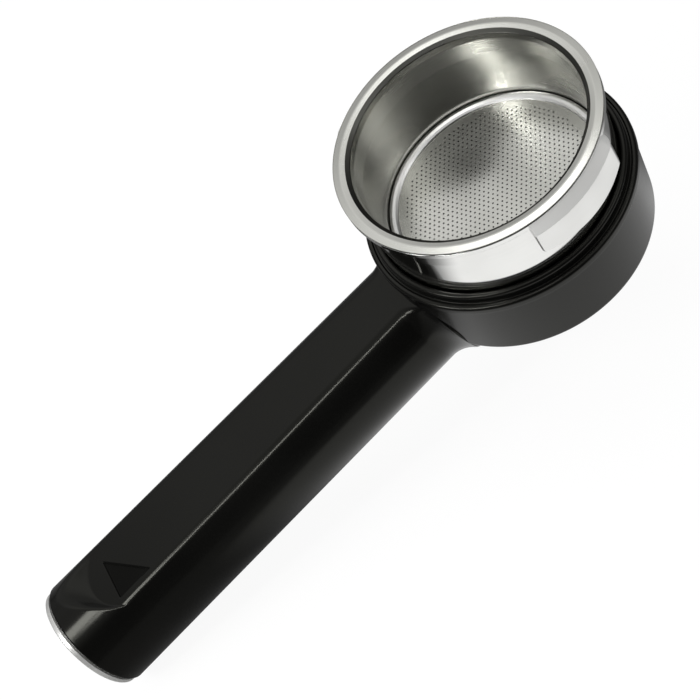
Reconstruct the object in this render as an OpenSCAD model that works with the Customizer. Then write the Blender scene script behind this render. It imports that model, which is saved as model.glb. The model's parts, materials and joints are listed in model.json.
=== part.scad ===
// Portafilter: the hand-held filter holder of an espresso machine.
// The cup's axis is Z, the sealing face of the basket's rim is z = 0, and the handle runs towards +X.

/* [Basket] */
// Inner radius of the basket's straight upper wall, where a tamper fits
basket_r = 25.5; // [23:0.1:30]
// Depth of the straight wall below the rim face
tamp_depth = 7; // [4:0.5:9]
// Depth of the filter screen below the rim face
basket_depth = 20.4; // [17:0.1:26]
// How much the wall narrows between its straight part and the screen
wall_draw = 0.7; // [0.2:0.1:1.5]
// Thickness of the drawn steel sheet
sheet_t = 0.5; // [0.3:0.05:0.8]
// How far the rolled rim reaches out from the inner wall
rim_reach = 4; // [2.6:0.1:5]
// Thickness of the rolled rim, also the radius of its rounded mouth
rim_t = 0.8; // [0.6:0.1:1.8]
// Height of the pressure chamber under the screen
chamber_h = 3; // [1.5:0.5:5]
// Radius of the chamber's single outlet hole
jet_r = 0.5; // [0.3:0.05:0.8]

/* [Filter screen] */
// Thickness of the perforated disc
screen_t = 0.6; // [0.4:0.1:1]
// Radius of one perforation
hole_r = 0.35; // [0.2:0.05:0.6]
// Distance between neighbouring perforations
hole_pitch = 2.4; // [2.2:0.1:4]
// Plain band between the perforations and the ring
screen_edge = 1.6; // [0.8:0.1:4]
// Width of the ring that holds the screen down, and of the ledge under it
ring_w = 2; // [0.8:0.1:2.4]
// Height of that ring
ring_h = 0.8; // [0.4:0.1:1.5]

/* [Holder] */
// Wall thickness of the cast holder cup
holder_wall = 1.6; // [1.4:0.1:2.4]
// How far the top flange reaches past the wall
flange_reach = 1.6; // [1.2:0.1:3]
// Thickness of the top flange
flange_t = 1.3; // [0.8:0.1:2]
// Free height between the basket and the holder's floor
under_gap = 1.5; // [0.8:0.1:3]
// Fall of the floor towards the outlet
floor_fall = 0.8; // [0.4:0.1:1.5]
// Thickness of the floor at the outlet
floor_t = 2.2; // [1.6:0.1:3]
// Outer radius of the threaded outlet nipple
nipple_r = 8.3; // [7.6:0.1:9]
// Radius of the outlet
outlet_r = 4.5; // [3:0.1:5.5]
// Wire radius of the ring spring that keeps the basket in
spring_wire_r = 0.5; // [0.3:0.05:0.6]
// Depth of the ring spring below the straight wall's end
spring_below = 4; // [2:0.5:7]
// Opening of the ring spring, in degrees
spring_open = 26; // [10:1:60]

/* [Bayonet lugs] */
// Number of lugs
lug_count = 2; // [2:1:3]
// How far a lug reaches out from the holder's wall
lug_reach = 3.6; // [3:0.1:6]
// Depth of the lug's top below the flange's top
lug_drop = 2.1; // [1:0.1:2.4]
// Thickness of a lug at its ends
lug_t = 5.1; // [3.2:0.1:6]
// How far the middle of its underside hangs below its ends
lug_crown = 1.8; // [0.5:0.1:2.5]
// How much wider than the lug the round of its leading end is
lug_lead = 0.3; // [0.1:0.1:2]
// Chamfer of its upper outer edge
lug_chamfer = 0.3; // [0.2:0.1:1.6]
// Angle from the handle to the square end of the first lug
lug_start = 86.5; // [60:0.5:110]
// Angle that a lug covers
lug_span = 52; // [36:1:70]
// Angle by which the flange's gap over a lug starts before the lug
lug_notch = 1.8; // [0.5:0.1:4]

/* [Collar] */
// Depth of the collar's upper lip below the rim face
collar_drop = 17.6; // [14:0.1:20]
// Width of the upper lip
lip_w = 1.5; // [1:0.1:2]
// Height of the upper lip above the shoulder
lip_h = 1.9; // [1:0.1:3]
// Width of the rounded shoulder
shoulder_w = 1.7; // [1.2:0.1:2.5]
// Height of the rounded shoulder
shoulder_h = 2; // [1.4:0.1:3]
// Radius of the shadow groove between lip and shoulder
groove_r = 0.35; // [0.2:0.05:0.5]
// Width of the tongue that keys the collar into the bowl's edge
tongue_w = 0.9; // [0.6:0.1:1.2]
// Depth of that tongue
tongue_h = 1.4; // [0.8:0.1:2]

/* [Bowl] */
// How far the collar stands out past the bowl
collar_overhang = 0.4; // [0.2:0.1:1]
// How much the bowl narrows from the collar to its lower edge
bowl_draft = 1.1; // [0.2:0.1:1.2]
// Thickness of the bowl's floor
bowl_floor_t = 2.4; // [1.8:0.1:4]
// Radius of the bowl's lower edge
bowl_round = 1.2; // [0.4:0.1:1.6]
// Free height between the holder's floor and the bowl's floor
sump_h = 6.6; // [5:0.1:12]
// How far the bowl's underside falls towards its hub
bowl_fall = 2.8; // [1:0.1:4]
// Radius of the hub that carries the spout
hub_r = 13; // [12:0.1:15]
// Depth of the hub's flat end below the bowl's lower edge
hub_drop = 5; // [3.5:0.1:9]

/* [Handle] */
// Depth of the handle's axis below the rim face, where it crosses the cup's axis
handle_drop = 30; // [27:0.5:34]
// Angle by which the handle droops
droop = 15; // [8:0.5:20]
// Length of the handle from the cup's axis to its end
handle_len = 137.7; // [110:0.5:170]
// Radius of the handle at the cup's axis
handle_root_r = 12.3; // [11.5:0.1:14]
// Radius of the handle at its end
handle_end_r = 14.3; // [13:0.1:16]
// Height of the flat thumb face above the handle's axis
facet_h = 10.9; // [10:0.1:11.3]
// Distance from the handle's end to the rounded end of the thumb face
facet_stop = 10; // [6:0.1:30]
// Radius of that rounded end
facet_round = 10.5; // [9.5:0.1:16]
// Radius of the hollow inside the handle
handle_bore_r = 8.2; // [7:0.1:8.8]
// Radius of the fillet between handle and bowl
neck_fillet = 5; // [3:0.5:8]
// Chamfer round the handle's end
end_chamfer = 0.5; // [0.2:0.1:1]
// Length of the triangular recess in the thumb face, along the handle
mark_len = 10.2; // [4:0.1:12]
// Width of the triangular recess
mark_w = 11.4; // [4:0.1:12]
// Depth of the triangular recess
mark_depth = 0.4; // [0.2:0.1:0.8]
// Distance from the thumb face's end to the recess
mark_gap = 5.7; // [4:0.1:20]
// How far the recess lies to the side of the thumb face's middle
mark_side = 1.5; // [0:0.1:2]

/* [End cap] */
// Thickness of the cap's band between the handle's end and the dome
cap_band = 1.7; // [0.8:0.1:3]
// Height of the dome
cap_dome = 1.4; // [0.8:0.1:4]
// Wall thickness of the spigot
spigot_t = 2.8; // [2.4:0.1:3.2]
// Length of the spigot inside the handle
spigot_len = 8; // [5:0.5:14]
// Wire radius of the rubber ring on the spigot
cap_ring_r = 0.7; // [0.5:0.05:0.9]

/* [Handle bolt] */
// Length of the cast arm that the handle is bolted to, from the cup's axis
arm_len = 24; // [20:0.5:24.5]
// Radius of that arm
arm_r = 5.5; // [5:0.1:6]
// Thickness of the wall that the bolt clamps
bulkhead_t = 8; // [7:0.5:14]
// Thread radius of the bolt
bolt_r = 3; // [2.5:0.1:3.5]
// Length of thread in the arm
bolt_grip = 11; // [7:0.5:12]
// Radius of the bolt's head
bolt_head_r = 5; // [4.5:0.1:5.5]
// Height of the bolt's head
bolt_head_h = 6; // [4:0.5:8]
// Size of the hexagon socket across its corners
bolt_socket = 5.8; // [4:0.1:6.4]
// Thickness of the flat washer
bolt_washer_t = 1.2; // [0.8:0.1:2]
// Thickness of the split lock washer
lock_washer_t = 1.6; // [1:0.1:2]
// Opening of the lock washer, in degrees
lock_open = 14; // [6:1:30]

/* [Spout] */
// Thickness of the seal between hub and spout
seal_t = 1; // [0.6:0.1:2]
// Length of the nipple's thread in the spout
thread_len = 6; // [4:0.5:8]
// Radius of the spout's upper part
spout_r = 11.5; // [10.8:0.1:12]
// Height of the chamber where the flow divides
divide_h = 2.6; // [2:0.1:4]
// Distance between the two nozzles' axes
nozzle_pitch = 17; // [15:0.5:20]
// Outer radius of a nozzle
nozzle_r = 4.6; // [4.3:0.1:5.2]
// Radius of a nozzle's bore
nozzle_bore_r = 3.2; // [2.6:0.1:3.4]
// Height of a nozzle below the divided chamber
nozzle_h = 3.8; // [3:0.1:8]
// Thickness of the spout's walls
spout_t = 1.4; // [1:0.1:1.8]

/* [Screws] */
// Number of screws that hold the bowl to the holder
screw_count = 3; // [2:1:4]
// Distance of the screws from the bowl's inner wall
screw_inset = 7.5; // [6.5:0.1:9.5]
// Radius of a screw's thread
screw_r = 1.6; // [1.2:0.1:2]
// Length of thread in the holder's boss
screw_grip = 5; // [3:0.5:5.5]
// Radius of a screw's head
screw_head_r = 3.1; // [2.6:0.1:3.3]
// Height of a screw's head
screw_head_h = 1.8; // [1:0.1:2.5]
// Radius of a boss under the holder's floor
boss_r = 4; // [3.5:0.1:4.5]
// Thickness of the bowl's floor under a screw's head
screw_seat_t = 1.4; // [1:0.1:1.6]
// Thickness of a screw's washer
screw_washer_t = 0.6; // [0.4:0.1:1]

/* [Fits] */
// Gap between the basket and the holder
basket_gap = 0.3; // [0.2:0.05:0.5]
// Gap between the holder and the bowl, all round
shell_gap = 0.3; // [0.2:0.05:0.5]
// Gap of pieces that slip over each other by hand
slip_gap = 0.15; // [0.1:0.05:0.3]
// Gap of pieces that are pressed or screwed together
seat_gap = 0.05; // [0.03:0.01:0.1]

/* [Hidden] */
$fn = 96;
small_fn = 24;
hex_fn = 6;
// Length by which a cutter runs past the face that it cuts
over = 1;
// Length of a cutter that has to clear the whole object
far = 60;

// Basket levels and radii
rim_r = basket_r + rim_reach;
seat_r = basket_r - wall_draw;
ledge_r = seat_r - ring_w;
screen_under = -basket_depth - screen_t;
chamber_floor = screen_under - chamber_h;
basket_under = chamber_floor - sheet_t;
field_r = ledge_r - screen_edge;

// Inner radius of the basket's wall at a depth below the rim face
function wall_r(depth) =
    depth <= tamp_depth ? basket_r :
    depth >= basket_depth ? seat_r :
    basket_r - wall_draw * (depth - tamp_depth) / (basket_depth - tamp_depth);

// The holder follows the basket's wall at a gap, inside and outside
function holder_in(depth) = wall_r(depth) + sheet_t + basket_gap;
function holder_out(depth) = holder_in(depth) + holder_wall;

// Holder levels and radii
holder_top = -rim_t;
flange_under = holder_top - flange_t;
flange_r = holder_out(0) + flange_reach;
floor_top = basket_under - under_gap;
floor_under = floor_top - floor_fall - floor_t;
spring_z = -(tamp_depth + spring_below);
spring_r = wall_r(-spring_z) + sheet_t + slip_gap + spring_wire_r;
spring_seat = spring_wire_r + slip_gap;

// Lug levels and radii
lug_r = holder_out(0) + lug_reach;
lug_root_r = holder_in(0) + holder_wall / 2;
lug_top = holder_top - lug_drop;
lug_end_z = lug_top - lug_t;
lug_w = lug_r - lug_root_r;
lug_round = lug_w + lug_lead;
lug_round_angle = lug_span - asin(lug_round / lug_root_r);
lug_half_chord = lug_r * sin(lug_span / 2);
lug_crown_r = (lug_half_chord * lug_half_chord + lug_crown * lug_crown) / (2 * lug_crown);

// Collar levels and radii
collar_top = -collar_drop;
shoulder_top = collar_top - lip_h;
collar_under = shoulder_top - shoulder_h;
collar_in = holder_out(collar_drop) + slip_gap;
collar_out = collar_in + lip_w + shoulder_w;

// Bowl levels and radii
bowl_top_r = collar_out - collar_overhang;
bowl_edge_r = bowl_top_r - bowl_draft;
cavity_r = holder_out(-collar_under) + shell_gap;
cavity_floor = floor_under - sump_h;
bowl_edge = cavity_floor - bowl_floor_t;
hub_under = bowl_edge - hub_drop;
tongue_r = (cavity_r + bowl_top_r) / 2;

// Handle stations, measured along its axis
seat_x = arm_len + shell_gap + bulkhead_t;
function handle_r(x) = handle_root_r + (handle_end_r - handle_root_r) * x / handle_len;
facet_end = handle_len - facet_stop;
facet_centre = facet_end - facet_round;
mark_x = facet_end - mark_gap;

// Fillet between handle and bowl: its centre, level with the handle's axis, and where it meets the bowl
neck_r = handle_r(bowl_edge_r) + neck_fillet;
neck_x = sqrt(pow(bowl_edge_r + neck_fillet, 2) - pow(neck_r, 2)) / cos(droop);
neck_touch = bowl_edge_r / (bowl_edge_r + neck_fillet);

// End cap on the handle's axis
cap_base_r = handle_end_r - end_chamfer;
dome_r = (cap_base_r * cap_base_r + cap_dome * cap_dome) / (2 * cap_dome);
dome_centre = handle_len + cap_band + cap_dome - dome_r;
spigot_r = handle_bore_r - slip_gap;
cap_ring_place = spigot_r + slip_gap - seat_gap - cap_ring_r;
cap_ring_x = handle_len - spigot_len / 2;

// Spout levels
spout_top = hub_under - seal_t;
nipple_end = spout_top - thread_len;
divide_top = nipple_end - seat_gap;
divide_floor = divide_top - divide_h;
nozzle_end = divide_floor - nozzle_h;

// Screw levels, and their distance from the cup's axis
screw_place = cavity_r - screw_inset;
screw_seat = cavity_floor - screw_seat_t;
screw_head_top = screw_seat - screw_washer_t;
screw_tip = cavity_floor + screw_grip;
screw_hole_r = screw_r + shell_gap;
screw_head_hole_r = screw_head_r + 2 * shell_gap;

// Frame of the handle: X runs along it, Z is up and square to it
module along_handle() {
    translate([0, 0, -handle_drop]) rotate([0, droop, 0]) children();
}

// A round piece on the handle's axis, drawn as radius and station
module turned_on_handle() {
    along_handle() rotate([0, 90, 0]) rotate_extrude() children();
}

// A plain cylinder on the handle's axis between two stations
module handle_rod(from, to, r) {
    along_handle() translate([from, 0, 0]) rotate([0, 90, 0]) cylinder(h = to - from, r = r);
}

// A ring about the cup's axis between two levels
module ring(bottom, top, r_in, r_out) {
    translate([0, 0, bottom]) difference() {
        cylinder(h = top - bottom, r = r_out);
        translate([0, 0, -over]) cylinder(h = top - bottom + 2 * over, r = r_in);
    }
}

// One child at each screw
module at_screws() {
    for (i = [0:screw_count - 1]) {
        rotate([0, 0, 360 * (i + 0.5) / screw_count]) translate([screw_place, 0, 0]) children();
    }
}

// Basket: rolled rim, drawn wall, ledge for the screen and pressure chamber
module basket_section() {
    difference() {
        translate([basket_r, -rim_t]) square([rim_reach - rim_t / 2, rim_t]);
        difference() {
            translate([basket_r, -rim_t]) square([rim_t, rim_t + over]);
            translate([basket_r + rim_t, -rim_t]) circle(rim_t);
            translate([basket_r + rim_t, -rim_t]) square([rim_t, rim_t + 2 * over]);
        }
    }
    translate([rim_r - rim_t / 2, -rim_t / 2]) circle(rim_t / 2);
    polygon([
        [basket_r, -rim_t],
        [basket_r, -tamp_depth],
        [seat_r, -basket_depth],
        [seat_r, screen_under],
        [ledge_r, screen_under],
        [ledge_r, chamber_floor],
        [jet_r, chamber_floor],
        [jet_r, basket_under],
        [ledge_r, basket_under],
        [ledge_r + sheet_t, chamber_floor],
        [ledge_r + sheet_t, screen_under - sheet_t],
        [seat_r, screen_under - sheet_t],
        [seat_r + sheet_t, screen_under],
        [seat_r + sheet_t, -basket_depth],
        [basket_r + sheet_t, -tamp_depth],
        [basket_r + sheet_t, -rim_t]
    ]);
}

module basket() {
    color("silver") rotate_extrude() basket_section();
}

// Filter screen: a disc with perforations in a triangular pattern
module filter_screen() {
    row_step = hole_pitch * sin(60);
    rows = floor(field_r / row_step);
    columns = ceil(field_r / hole_pitch);
    color("gainsboro") translate([0, 0, screen_under]) linear_extrude(screen_t) difference() {
        circle(seat_r - seat_gap);
        for (row = [-rows:rows], column = [-columns:columns]) {
            x = (column + (row % 2 == 0 ? 0 : 0.5)) * hole_pitch;
            y = row * row_step;
            if (norm([x, y]) < field_r) translate([x, y]) circle(hole_r, $fn = small_fn);
        }
    }
}

module screen_ring() {
    ring_in = ledge_r + seat_gap;
    color("lightgray") rotate_extrude() difference() {
        translate([ring_in, -basket_depth]) square([ring_w - 2 * seat_gap, ring_h]);
        translate([ring_in, -basket_depth + ring_h]) rotate(45) square(ring_h / 2, center = true);
    }
}

// A lug that starts at the X axis: one square end, one rounded leading end, crowned below
module lug() {
    difference() {
        intersection() {
            rotate_extrude(angle = lug_span) translate([lug_root_r, lug_end_z - lug_crown])
                square([lug_w, lug_t + lug_crown + lug_drop / 2]);
            rotate([0, 0, lug_span / 2]) translate([0, 0, lug_end_z - lug_crown + lug_crown_r])
                rotate([0, 90, 0]) cylinder(h = far, r = lug_crown_r);
        }
        rotate([0, 0, lug_round_angle]) translate([lug_root_r, 0, -far / 2]) difference() {
            translate([-lug_round, 0, 0]) cube([far, far, far]);
            translate([0, 0, -over]) cylinder(h = far + 2 * over, r = lug_round);
        }
    }
}

// Cutter for the gap in the flange over a lug, which also trims the lug's top and chamfers its outer edge
module lug_gap() {
    gap_in = holder_out(0) + seat_gap;
    rotate([0, 0, -lug_notch]) rotate_extrude(angle = lug_span) polygon([
        [gap_in, lug_top],
        [lug_r - lug_chamfer, lug_top],
        [lug_r + over, lug_top - lug_chamfer - over],
        [lug_r + over, holder_top + over],
        [gap_in, holder_top + over]
    ]);
}

// One child at each lug's start
module at_lugs() {
    for (i = [0:lug_count - 1]) rotate([0, 0, lug_start + 360 * i / lug_count]) children();
}

// Outside of the holder cup, down to its floor
module holder_outside() {
    low_r = holder_out(basket_depth);
    corner = floor_t / 2;
    rotate_extrude() polygon([
        [0, holder_top],
        [flange_r, holder_top],
        [flange_r, flange_under],
        [holder_out(0), flange_under],
        [holder_out(0), -tamp_depth],
        [low_r, -basket_depth],
        [low_r, floor_under + corner],
        [low_r - corner, floor_under],
        [0, floor_under]
    ]);
}

// Inside of the holder cup, falling to the outlet
module holder_inside() {
    rotate_extrude() polygon([
        [0, holder_top + over],
        [holder_in(0), holder_top + over],
        [holder_in(0), -tamp_depth],
        [holder_in(basket_depth), -basket_depth],
        [holder_in(basket_depth), floor_top],
        [outlet_r, floor_top - floor_fall],
        [outlet_r, nipple_end - over],
        [0, nipple_end - over]
    ]);
}

// Holder: cast cup with bayonet lugs, outlet nipple, screw bosses and the arm for the handle
module holder() {
    color("gainsboro") difference() {
        union() {
            holder_outside();
            at_lugs() lug();
            translate([0, 0, nipple_end]) cylinder(h = floor_under + floor_t - nipple_end, r = nipple_r);
            handle_rod(0, arm_len, arm_r);
            at_screws() translate([0, 0, cavity_floor])
                cylinder(h = floor_under + floor_t / 2 - cavity_floor, r = boss_r);
        }
        at_lugs() lug_gap();
        holder_inside();
        translate([0, 0, spring_z - spring_seat])
            cylinder(h = 2 * spring_seat, r = spring_r + spring_seat);
        handle_rod(arm_len - bolt_grip - over, arm_len + over, bolt_r + seat_gap);
        at_screws() translate([0, 0, cavity_floor - over])
            cylinder(h = screw_grip + 2 * over, r = screw_r + seat_gap);
    }
}

module basket_spring() {
    color("darkgray") rotate([0, 0, spring_open / 2]) rotate_extrude(angle = 360 - spring_open)
        translate([spring_r, spring_z]) circle(spring_wire_r, $fn = small_fn);
}

// Collar: upper lip, shadow groove and rounded shoulder, keyed into the bowl's edge
module collar() {
    round_r = collar_out - shoulder_w / 2;
    round_z = shoulder_top - shoulder_w / 2;
    color("#1c1c1b") rotate_extrude() {
        translate([collar_in, collar_under]) square([lip_w, collar_top - collar_under - lip_w / 2]);
        translate([collar_in + lip_w / 2, collar_top - lip_w / 2]) circle(lip_w / 2);
        difference() {
            translate([collar_in, collar_under]) square([lip_w + shoulder_w, shoulder_h]);
            translate([collar_in + lip_w + groove_r, shoulder_top]) circle(groove_r, $fn = small_fn);
            difference() {
                translate([round_r, round_z]) square(shoulder_w);
                translate([round_r, round_z]) circle(shoulder_w / 2);
            }
        }
        translate([tongue_r - tongue_w / 2, collar_under - tongue_h])
            square([tongue_w, tongue_h + over / 2]);
    }
}

// Outside of the bowl: drafted wall, rounded edge, underside falling to the hub
module bowl_outside() {
    rotate_extrude() {
        polygon([
            [0, collar_under],
            [bowl_top_r, collar_under],
            [bowl_edge_r, bowl_edge + bowl_round],
            [bowl_edge_r - bowl_round, bowl_edge],
            [hub_r, bowl_edge - bowl_fall],
            [hub_r, hub_under],
            [0, hub_under]
        ]);
        translate([bowl_edge_r - bowl_round, bowl_edge + bowl_round]) circle(bowl_round);
    }
}

// Outside of the handle: tapered rod with a chamfered end and a fillet towards the bowl
module handle_outside() {
    turned_on_handle() polygon([
        [0, 0],
        [handle_root_r, 0],
        [handle_end_r, handle_len - end_chamfer],
        [handle_end_r - end_chamfer, handle_len],
        [0, handle_len]
    ]);
    intersection() {
        turned_on_handle() difference() {
            translate([0, neck_x * neck_touch]) square([neck_r * neck_touch, neck_x * (1 - neck_touch)]);
            translate([neck_r, neck_x]) circle(neck_fillet);
        }
        translate([0, -far / 2, bowl_edge]) cube([far, far, far]);
    }
}

// Cutter for the flat thumb face with its rounded end, and the recess in it
module thumb_face() {
    along_handle() translate([0, 0, facet_h]) linear_extrude(far) {
        translate([0, -far / 2]) square([facet_centre, far]);
        translate([facet_centre, 0]) circle(facet_round);
    }
    along_handle() translate([0, 0, facet_h - mark_depth]) linear_extrude(far) polygon([
        [mark_x, mark_side - mark_w / 2],
        [mark_x, mark_side + mark_w / 2],
        [mark_x - mark_len, mark_side + mark_w / 2]
    ]);
}

// Space in the bowl for the holder, its arm, its nipple and the screws
module bowl_inside() {
    arm_room = arm_r + shell_gap;
    translate([0, 0, cavity_floor]) cylinder(h = far, r = cavity_r);
    translate([0, 0, hub_under - over]) cylinder(h = far, r = nipple_r + slip_gap);
    intersection() {
        union() {
            handle_rod(0, arm_len + shell_gap, arm_room);
            along_handle() translate([0, -arm_room, 0]) cube([arm_len + shell_gap, 2 * arm_room, far]);
        }
        translate([0, 0, -far - handle_drop]) cylinder(h = 2 * far, r = cavity_r);
    }
    ring(collar_under - tongue_h - slip_gap, collar_under + over,
        tongue_r - tongue_w / 2 - slip_gap, tongue_r + tongue_w / 2 + slip_gap);
    at_screws() {
        translate([0, 0, screw_seat - over]) cylinder(h = far, r = screw_hole_r);
        translate([0, 0, screw_seat - far]) cylinder(h = far, r = screw_head_hole_r);
    }
}

// Shell: the moulded bowl and hollow handle in one piece
module shell() {
    color("#2b2b29") difference() {
        union() {
            bowl_outside();
            difference() {
                handle_outside();
                thumb_face();
            }
        }
        bowl_inside();
        translate([0, 0, hub_under - far]) cylinder(h = far, r = hub_r);
        handle_rod(arm_len, seat_x + over, bolt_r + shell_gap);
        handle_rod(seat_x, handle_len + over, handle_bore_r);
    }
}

// Socket-head bolt that pulls the handle onto the holder's arm
module handle_bolt() {
    head_x = seat_x + bolt_washer_t + lock_washer_t;
    socket_h = bolt_head_h / 2;
    color("dimgray") difference() {
        union() {
            handle_rod(arm_len - bolt_grip, head_x + over, bolt_r);
            handle_rod(head_x, head_x + bolt_head_h, bolt_head_r);
        }
        along_handle() translate([head_x + bolt_head_h - socket_h, 0, 0]) rotate([0, 90, 0])
            cylinder(h = socket_h + over, d = bolt_socket, $fn = hex_fn);
    }
}

module bolt_washer() {
    color("silver") difference() {
        handle_rod(seat_x, seat_x + bolt_washer_t, bolt_head_r + bolt_washer_t);
        handle_rod(seat_x - over, seat_x + bolt_washer_t + over, bolt_r + slip_gap);
    }
}

module lock_washer() {
    inner = bolt_r + slip_gap;
    color("gray") along_handle() rotate([0, 90, 0])
        rotate([0, 0, lock_open / 2]) rotate_extrude(angle = 360 - lock_open)
        translate([inner, seat_x + bolt_washer_t]) square([bolt_head_r - inner, lock_washer_t]);
}

// End cap: band with a shallow dome, and a hollow spigot that plugs the handle
module end_cap() {
    color("whitesmoke") turned_on_handle() difference() {
        union() {
            intersection() {
                translate([0, dome_centre]) circle(dome_r);
                translate([0, handle_len]) square([cap_base_r, cap_band + cap_dome + over]);
            }
            translate([0, handle_len - spigot_len]) square([spigot_r, spigot_len + cap_band / 2]);
        }
        translate([0, handle_len - spigot_len - over]) square([spigot_r - spigot_t, spigot_len + over]);
        translate([cap_ring_place, cap_ring_x]) circle(cap_ring_r + seat_gap, $fn = small_fn);
        translate([cap_ring_place, cap_ring_x - cap_ring_r - seat_gap])
            square([cap_ring_r + over, 2 * (cap_ring_r + seat_gap)]);
    }
}

module cap_ring() {
    color("#141414") turned_on_handle() translate([cap_ring_place, cap_ring_x])
        circle(cap_ring_r, $fn = small_fn);
}

// Outline with round ends that joins the two nozzles
module nozzle_plan(r) {
    for (side = [-1, 1]) translate([0, side * nozzle_pitch / 2]) circle(r);
    translate([-r, -nozzle_pitch / 2]) square([2 * r, nozzle_pitch]);
}

// Spout: threaded upper part, dividing chamber and two nozzles
module spout() {
    color("#262625") difference() {
        union() {
            translate([0, 0, divide_top - spout_t])
                cylinder(h = spout_top - divide_top + spout_t, r = spout_r);
            translate([0, 0, divide_floor - spout_t])
                linear_extrude(divide_h + 2 * spout_t) nozzle_plan(nozzle_r);
            for (side = [-1, 1]) translate([0, side * nozzle_pitch / 2, nozzle_end])
                cylinder(h = nozzle_h, r = nozzle_r);
        }
        translate([0, 0, divide_top]) cylinder(h = far, r = nipple_r + seat_gap);
        difference() {
            translate([0, 0, divide_floor]) linear_extrude(divide_h + over) nozzle_plan(nozzle_bore_r);
            translate([0, 0, divide_floor]) rotate([0, 45, 90])
                cube([divide_h, far, divide_h], center = true);
        }
        for (side = [-1, 1]) translate([0, side * nozzle_pitch / 2, nozzle_end - over])
            cylinder(h = nozzle_h + divide_h, r = nozzle_bore_r);
    }
}

module spout_seal() {
    color("#7a3b2e") ring(spout_top, hub_under, nipple_r + slip_gap, spout_r - seal_t / 2);
}

module shell_screws() {
    color("dimgray") at_screws() {
        translate([0, 0, screw_head_top - screw_head_h]) cylinder(h = screw_head_h, r = screw_head_r);
        translate([0, 0, screw_head_top - over / 2])
            cylinder(h = screw_tip - screw_head_top + over / 2, r = screw_r);
    }
}

module screw_washers() {
    color("silver") at_screws()
        ring(screw_head_top, screw_seat, screw_r + slip_gap, screw_head_r + shell_gap);
}

holder();
basket_spring();
collar();
shell();
handle_bolt();
lock_washer();
bolt_washer();
end_cap();
cap_ring();
spout();
spout_seal();
shell_screws();
screw_washers();
basket();
filter_screen();
screen_ring();
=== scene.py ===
# %% [markdown]
# A portafilter is the hand-held filter holder of an espresso machine: a steel basket in a chromed
# cup, a black moulded bowl below it and a drooping handle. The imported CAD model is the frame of
# this scene. Every piece made here takes its place from that frame, in the same axes: the cup's axis
# is Z, the rim's face is z = 0 and the handle runs towards +X. Shapes are worked out in millimetres
# and written to the meshes in metres.

# %% Load the frame
import json

import bmesh
import bpy
import numpy as np
from mathutils import Matrix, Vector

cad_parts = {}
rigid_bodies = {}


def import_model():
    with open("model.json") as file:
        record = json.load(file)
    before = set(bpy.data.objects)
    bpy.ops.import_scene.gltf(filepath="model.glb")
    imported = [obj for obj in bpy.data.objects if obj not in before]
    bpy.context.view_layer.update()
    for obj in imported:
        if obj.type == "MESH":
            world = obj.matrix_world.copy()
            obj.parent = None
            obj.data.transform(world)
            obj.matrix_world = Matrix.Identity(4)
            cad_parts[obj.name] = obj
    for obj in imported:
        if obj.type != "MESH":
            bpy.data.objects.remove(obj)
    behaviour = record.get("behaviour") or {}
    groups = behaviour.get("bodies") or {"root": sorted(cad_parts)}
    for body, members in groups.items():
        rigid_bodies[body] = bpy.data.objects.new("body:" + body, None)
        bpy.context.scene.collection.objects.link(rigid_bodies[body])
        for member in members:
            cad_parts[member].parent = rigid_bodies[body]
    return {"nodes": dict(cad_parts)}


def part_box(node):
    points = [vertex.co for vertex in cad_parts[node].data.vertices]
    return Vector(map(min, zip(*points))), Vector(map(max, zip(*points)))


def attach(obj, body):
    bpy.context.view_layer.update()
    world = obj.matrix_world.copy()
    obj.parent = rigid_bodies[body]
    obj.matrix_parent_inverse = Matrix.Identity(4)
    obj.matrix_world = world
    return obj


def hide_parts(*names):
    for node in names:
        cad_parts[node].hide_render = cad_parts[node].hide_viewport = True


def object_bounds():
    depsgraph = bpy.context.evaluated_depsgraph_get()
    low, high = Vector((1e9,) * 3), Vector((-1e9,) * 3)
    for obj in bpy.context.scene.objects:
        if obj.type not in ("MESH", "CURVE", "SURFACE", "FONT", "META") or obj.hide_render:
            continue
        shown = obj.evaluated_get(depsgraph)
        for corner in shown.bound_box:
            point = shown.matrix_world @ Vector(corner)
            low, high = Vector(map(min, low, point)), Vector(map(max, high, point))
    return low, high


for startup_object in list(bpy.data.objects):
    bpy.data.objects.remove(startup_object)
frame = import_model()
cad_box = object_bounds()
MM = 0.001
HOLDER_BODY = "holder_and_handle"
BASKET_BODY = "filter_basket"


def span(node):
    """Lowest and highest corner of a CAD node, in millimetres."""
    return [np.array(corner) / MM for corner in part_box(node)]


# %% [markdown]
# Most pieces here are turned or drawn parts, so they start as an outline with rounded corners. A
# corner that is left sharp looks like a drawing: a real edge always catches a thin line of light. A
# Bevel modifier would round every edge alike. Here each corner has its own radius, and the arc is
# worked out from the two sides that meet there.

# %% Outlines with rounded corners
ARC_STEPS = 7
GUARD = 0.03


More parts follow.
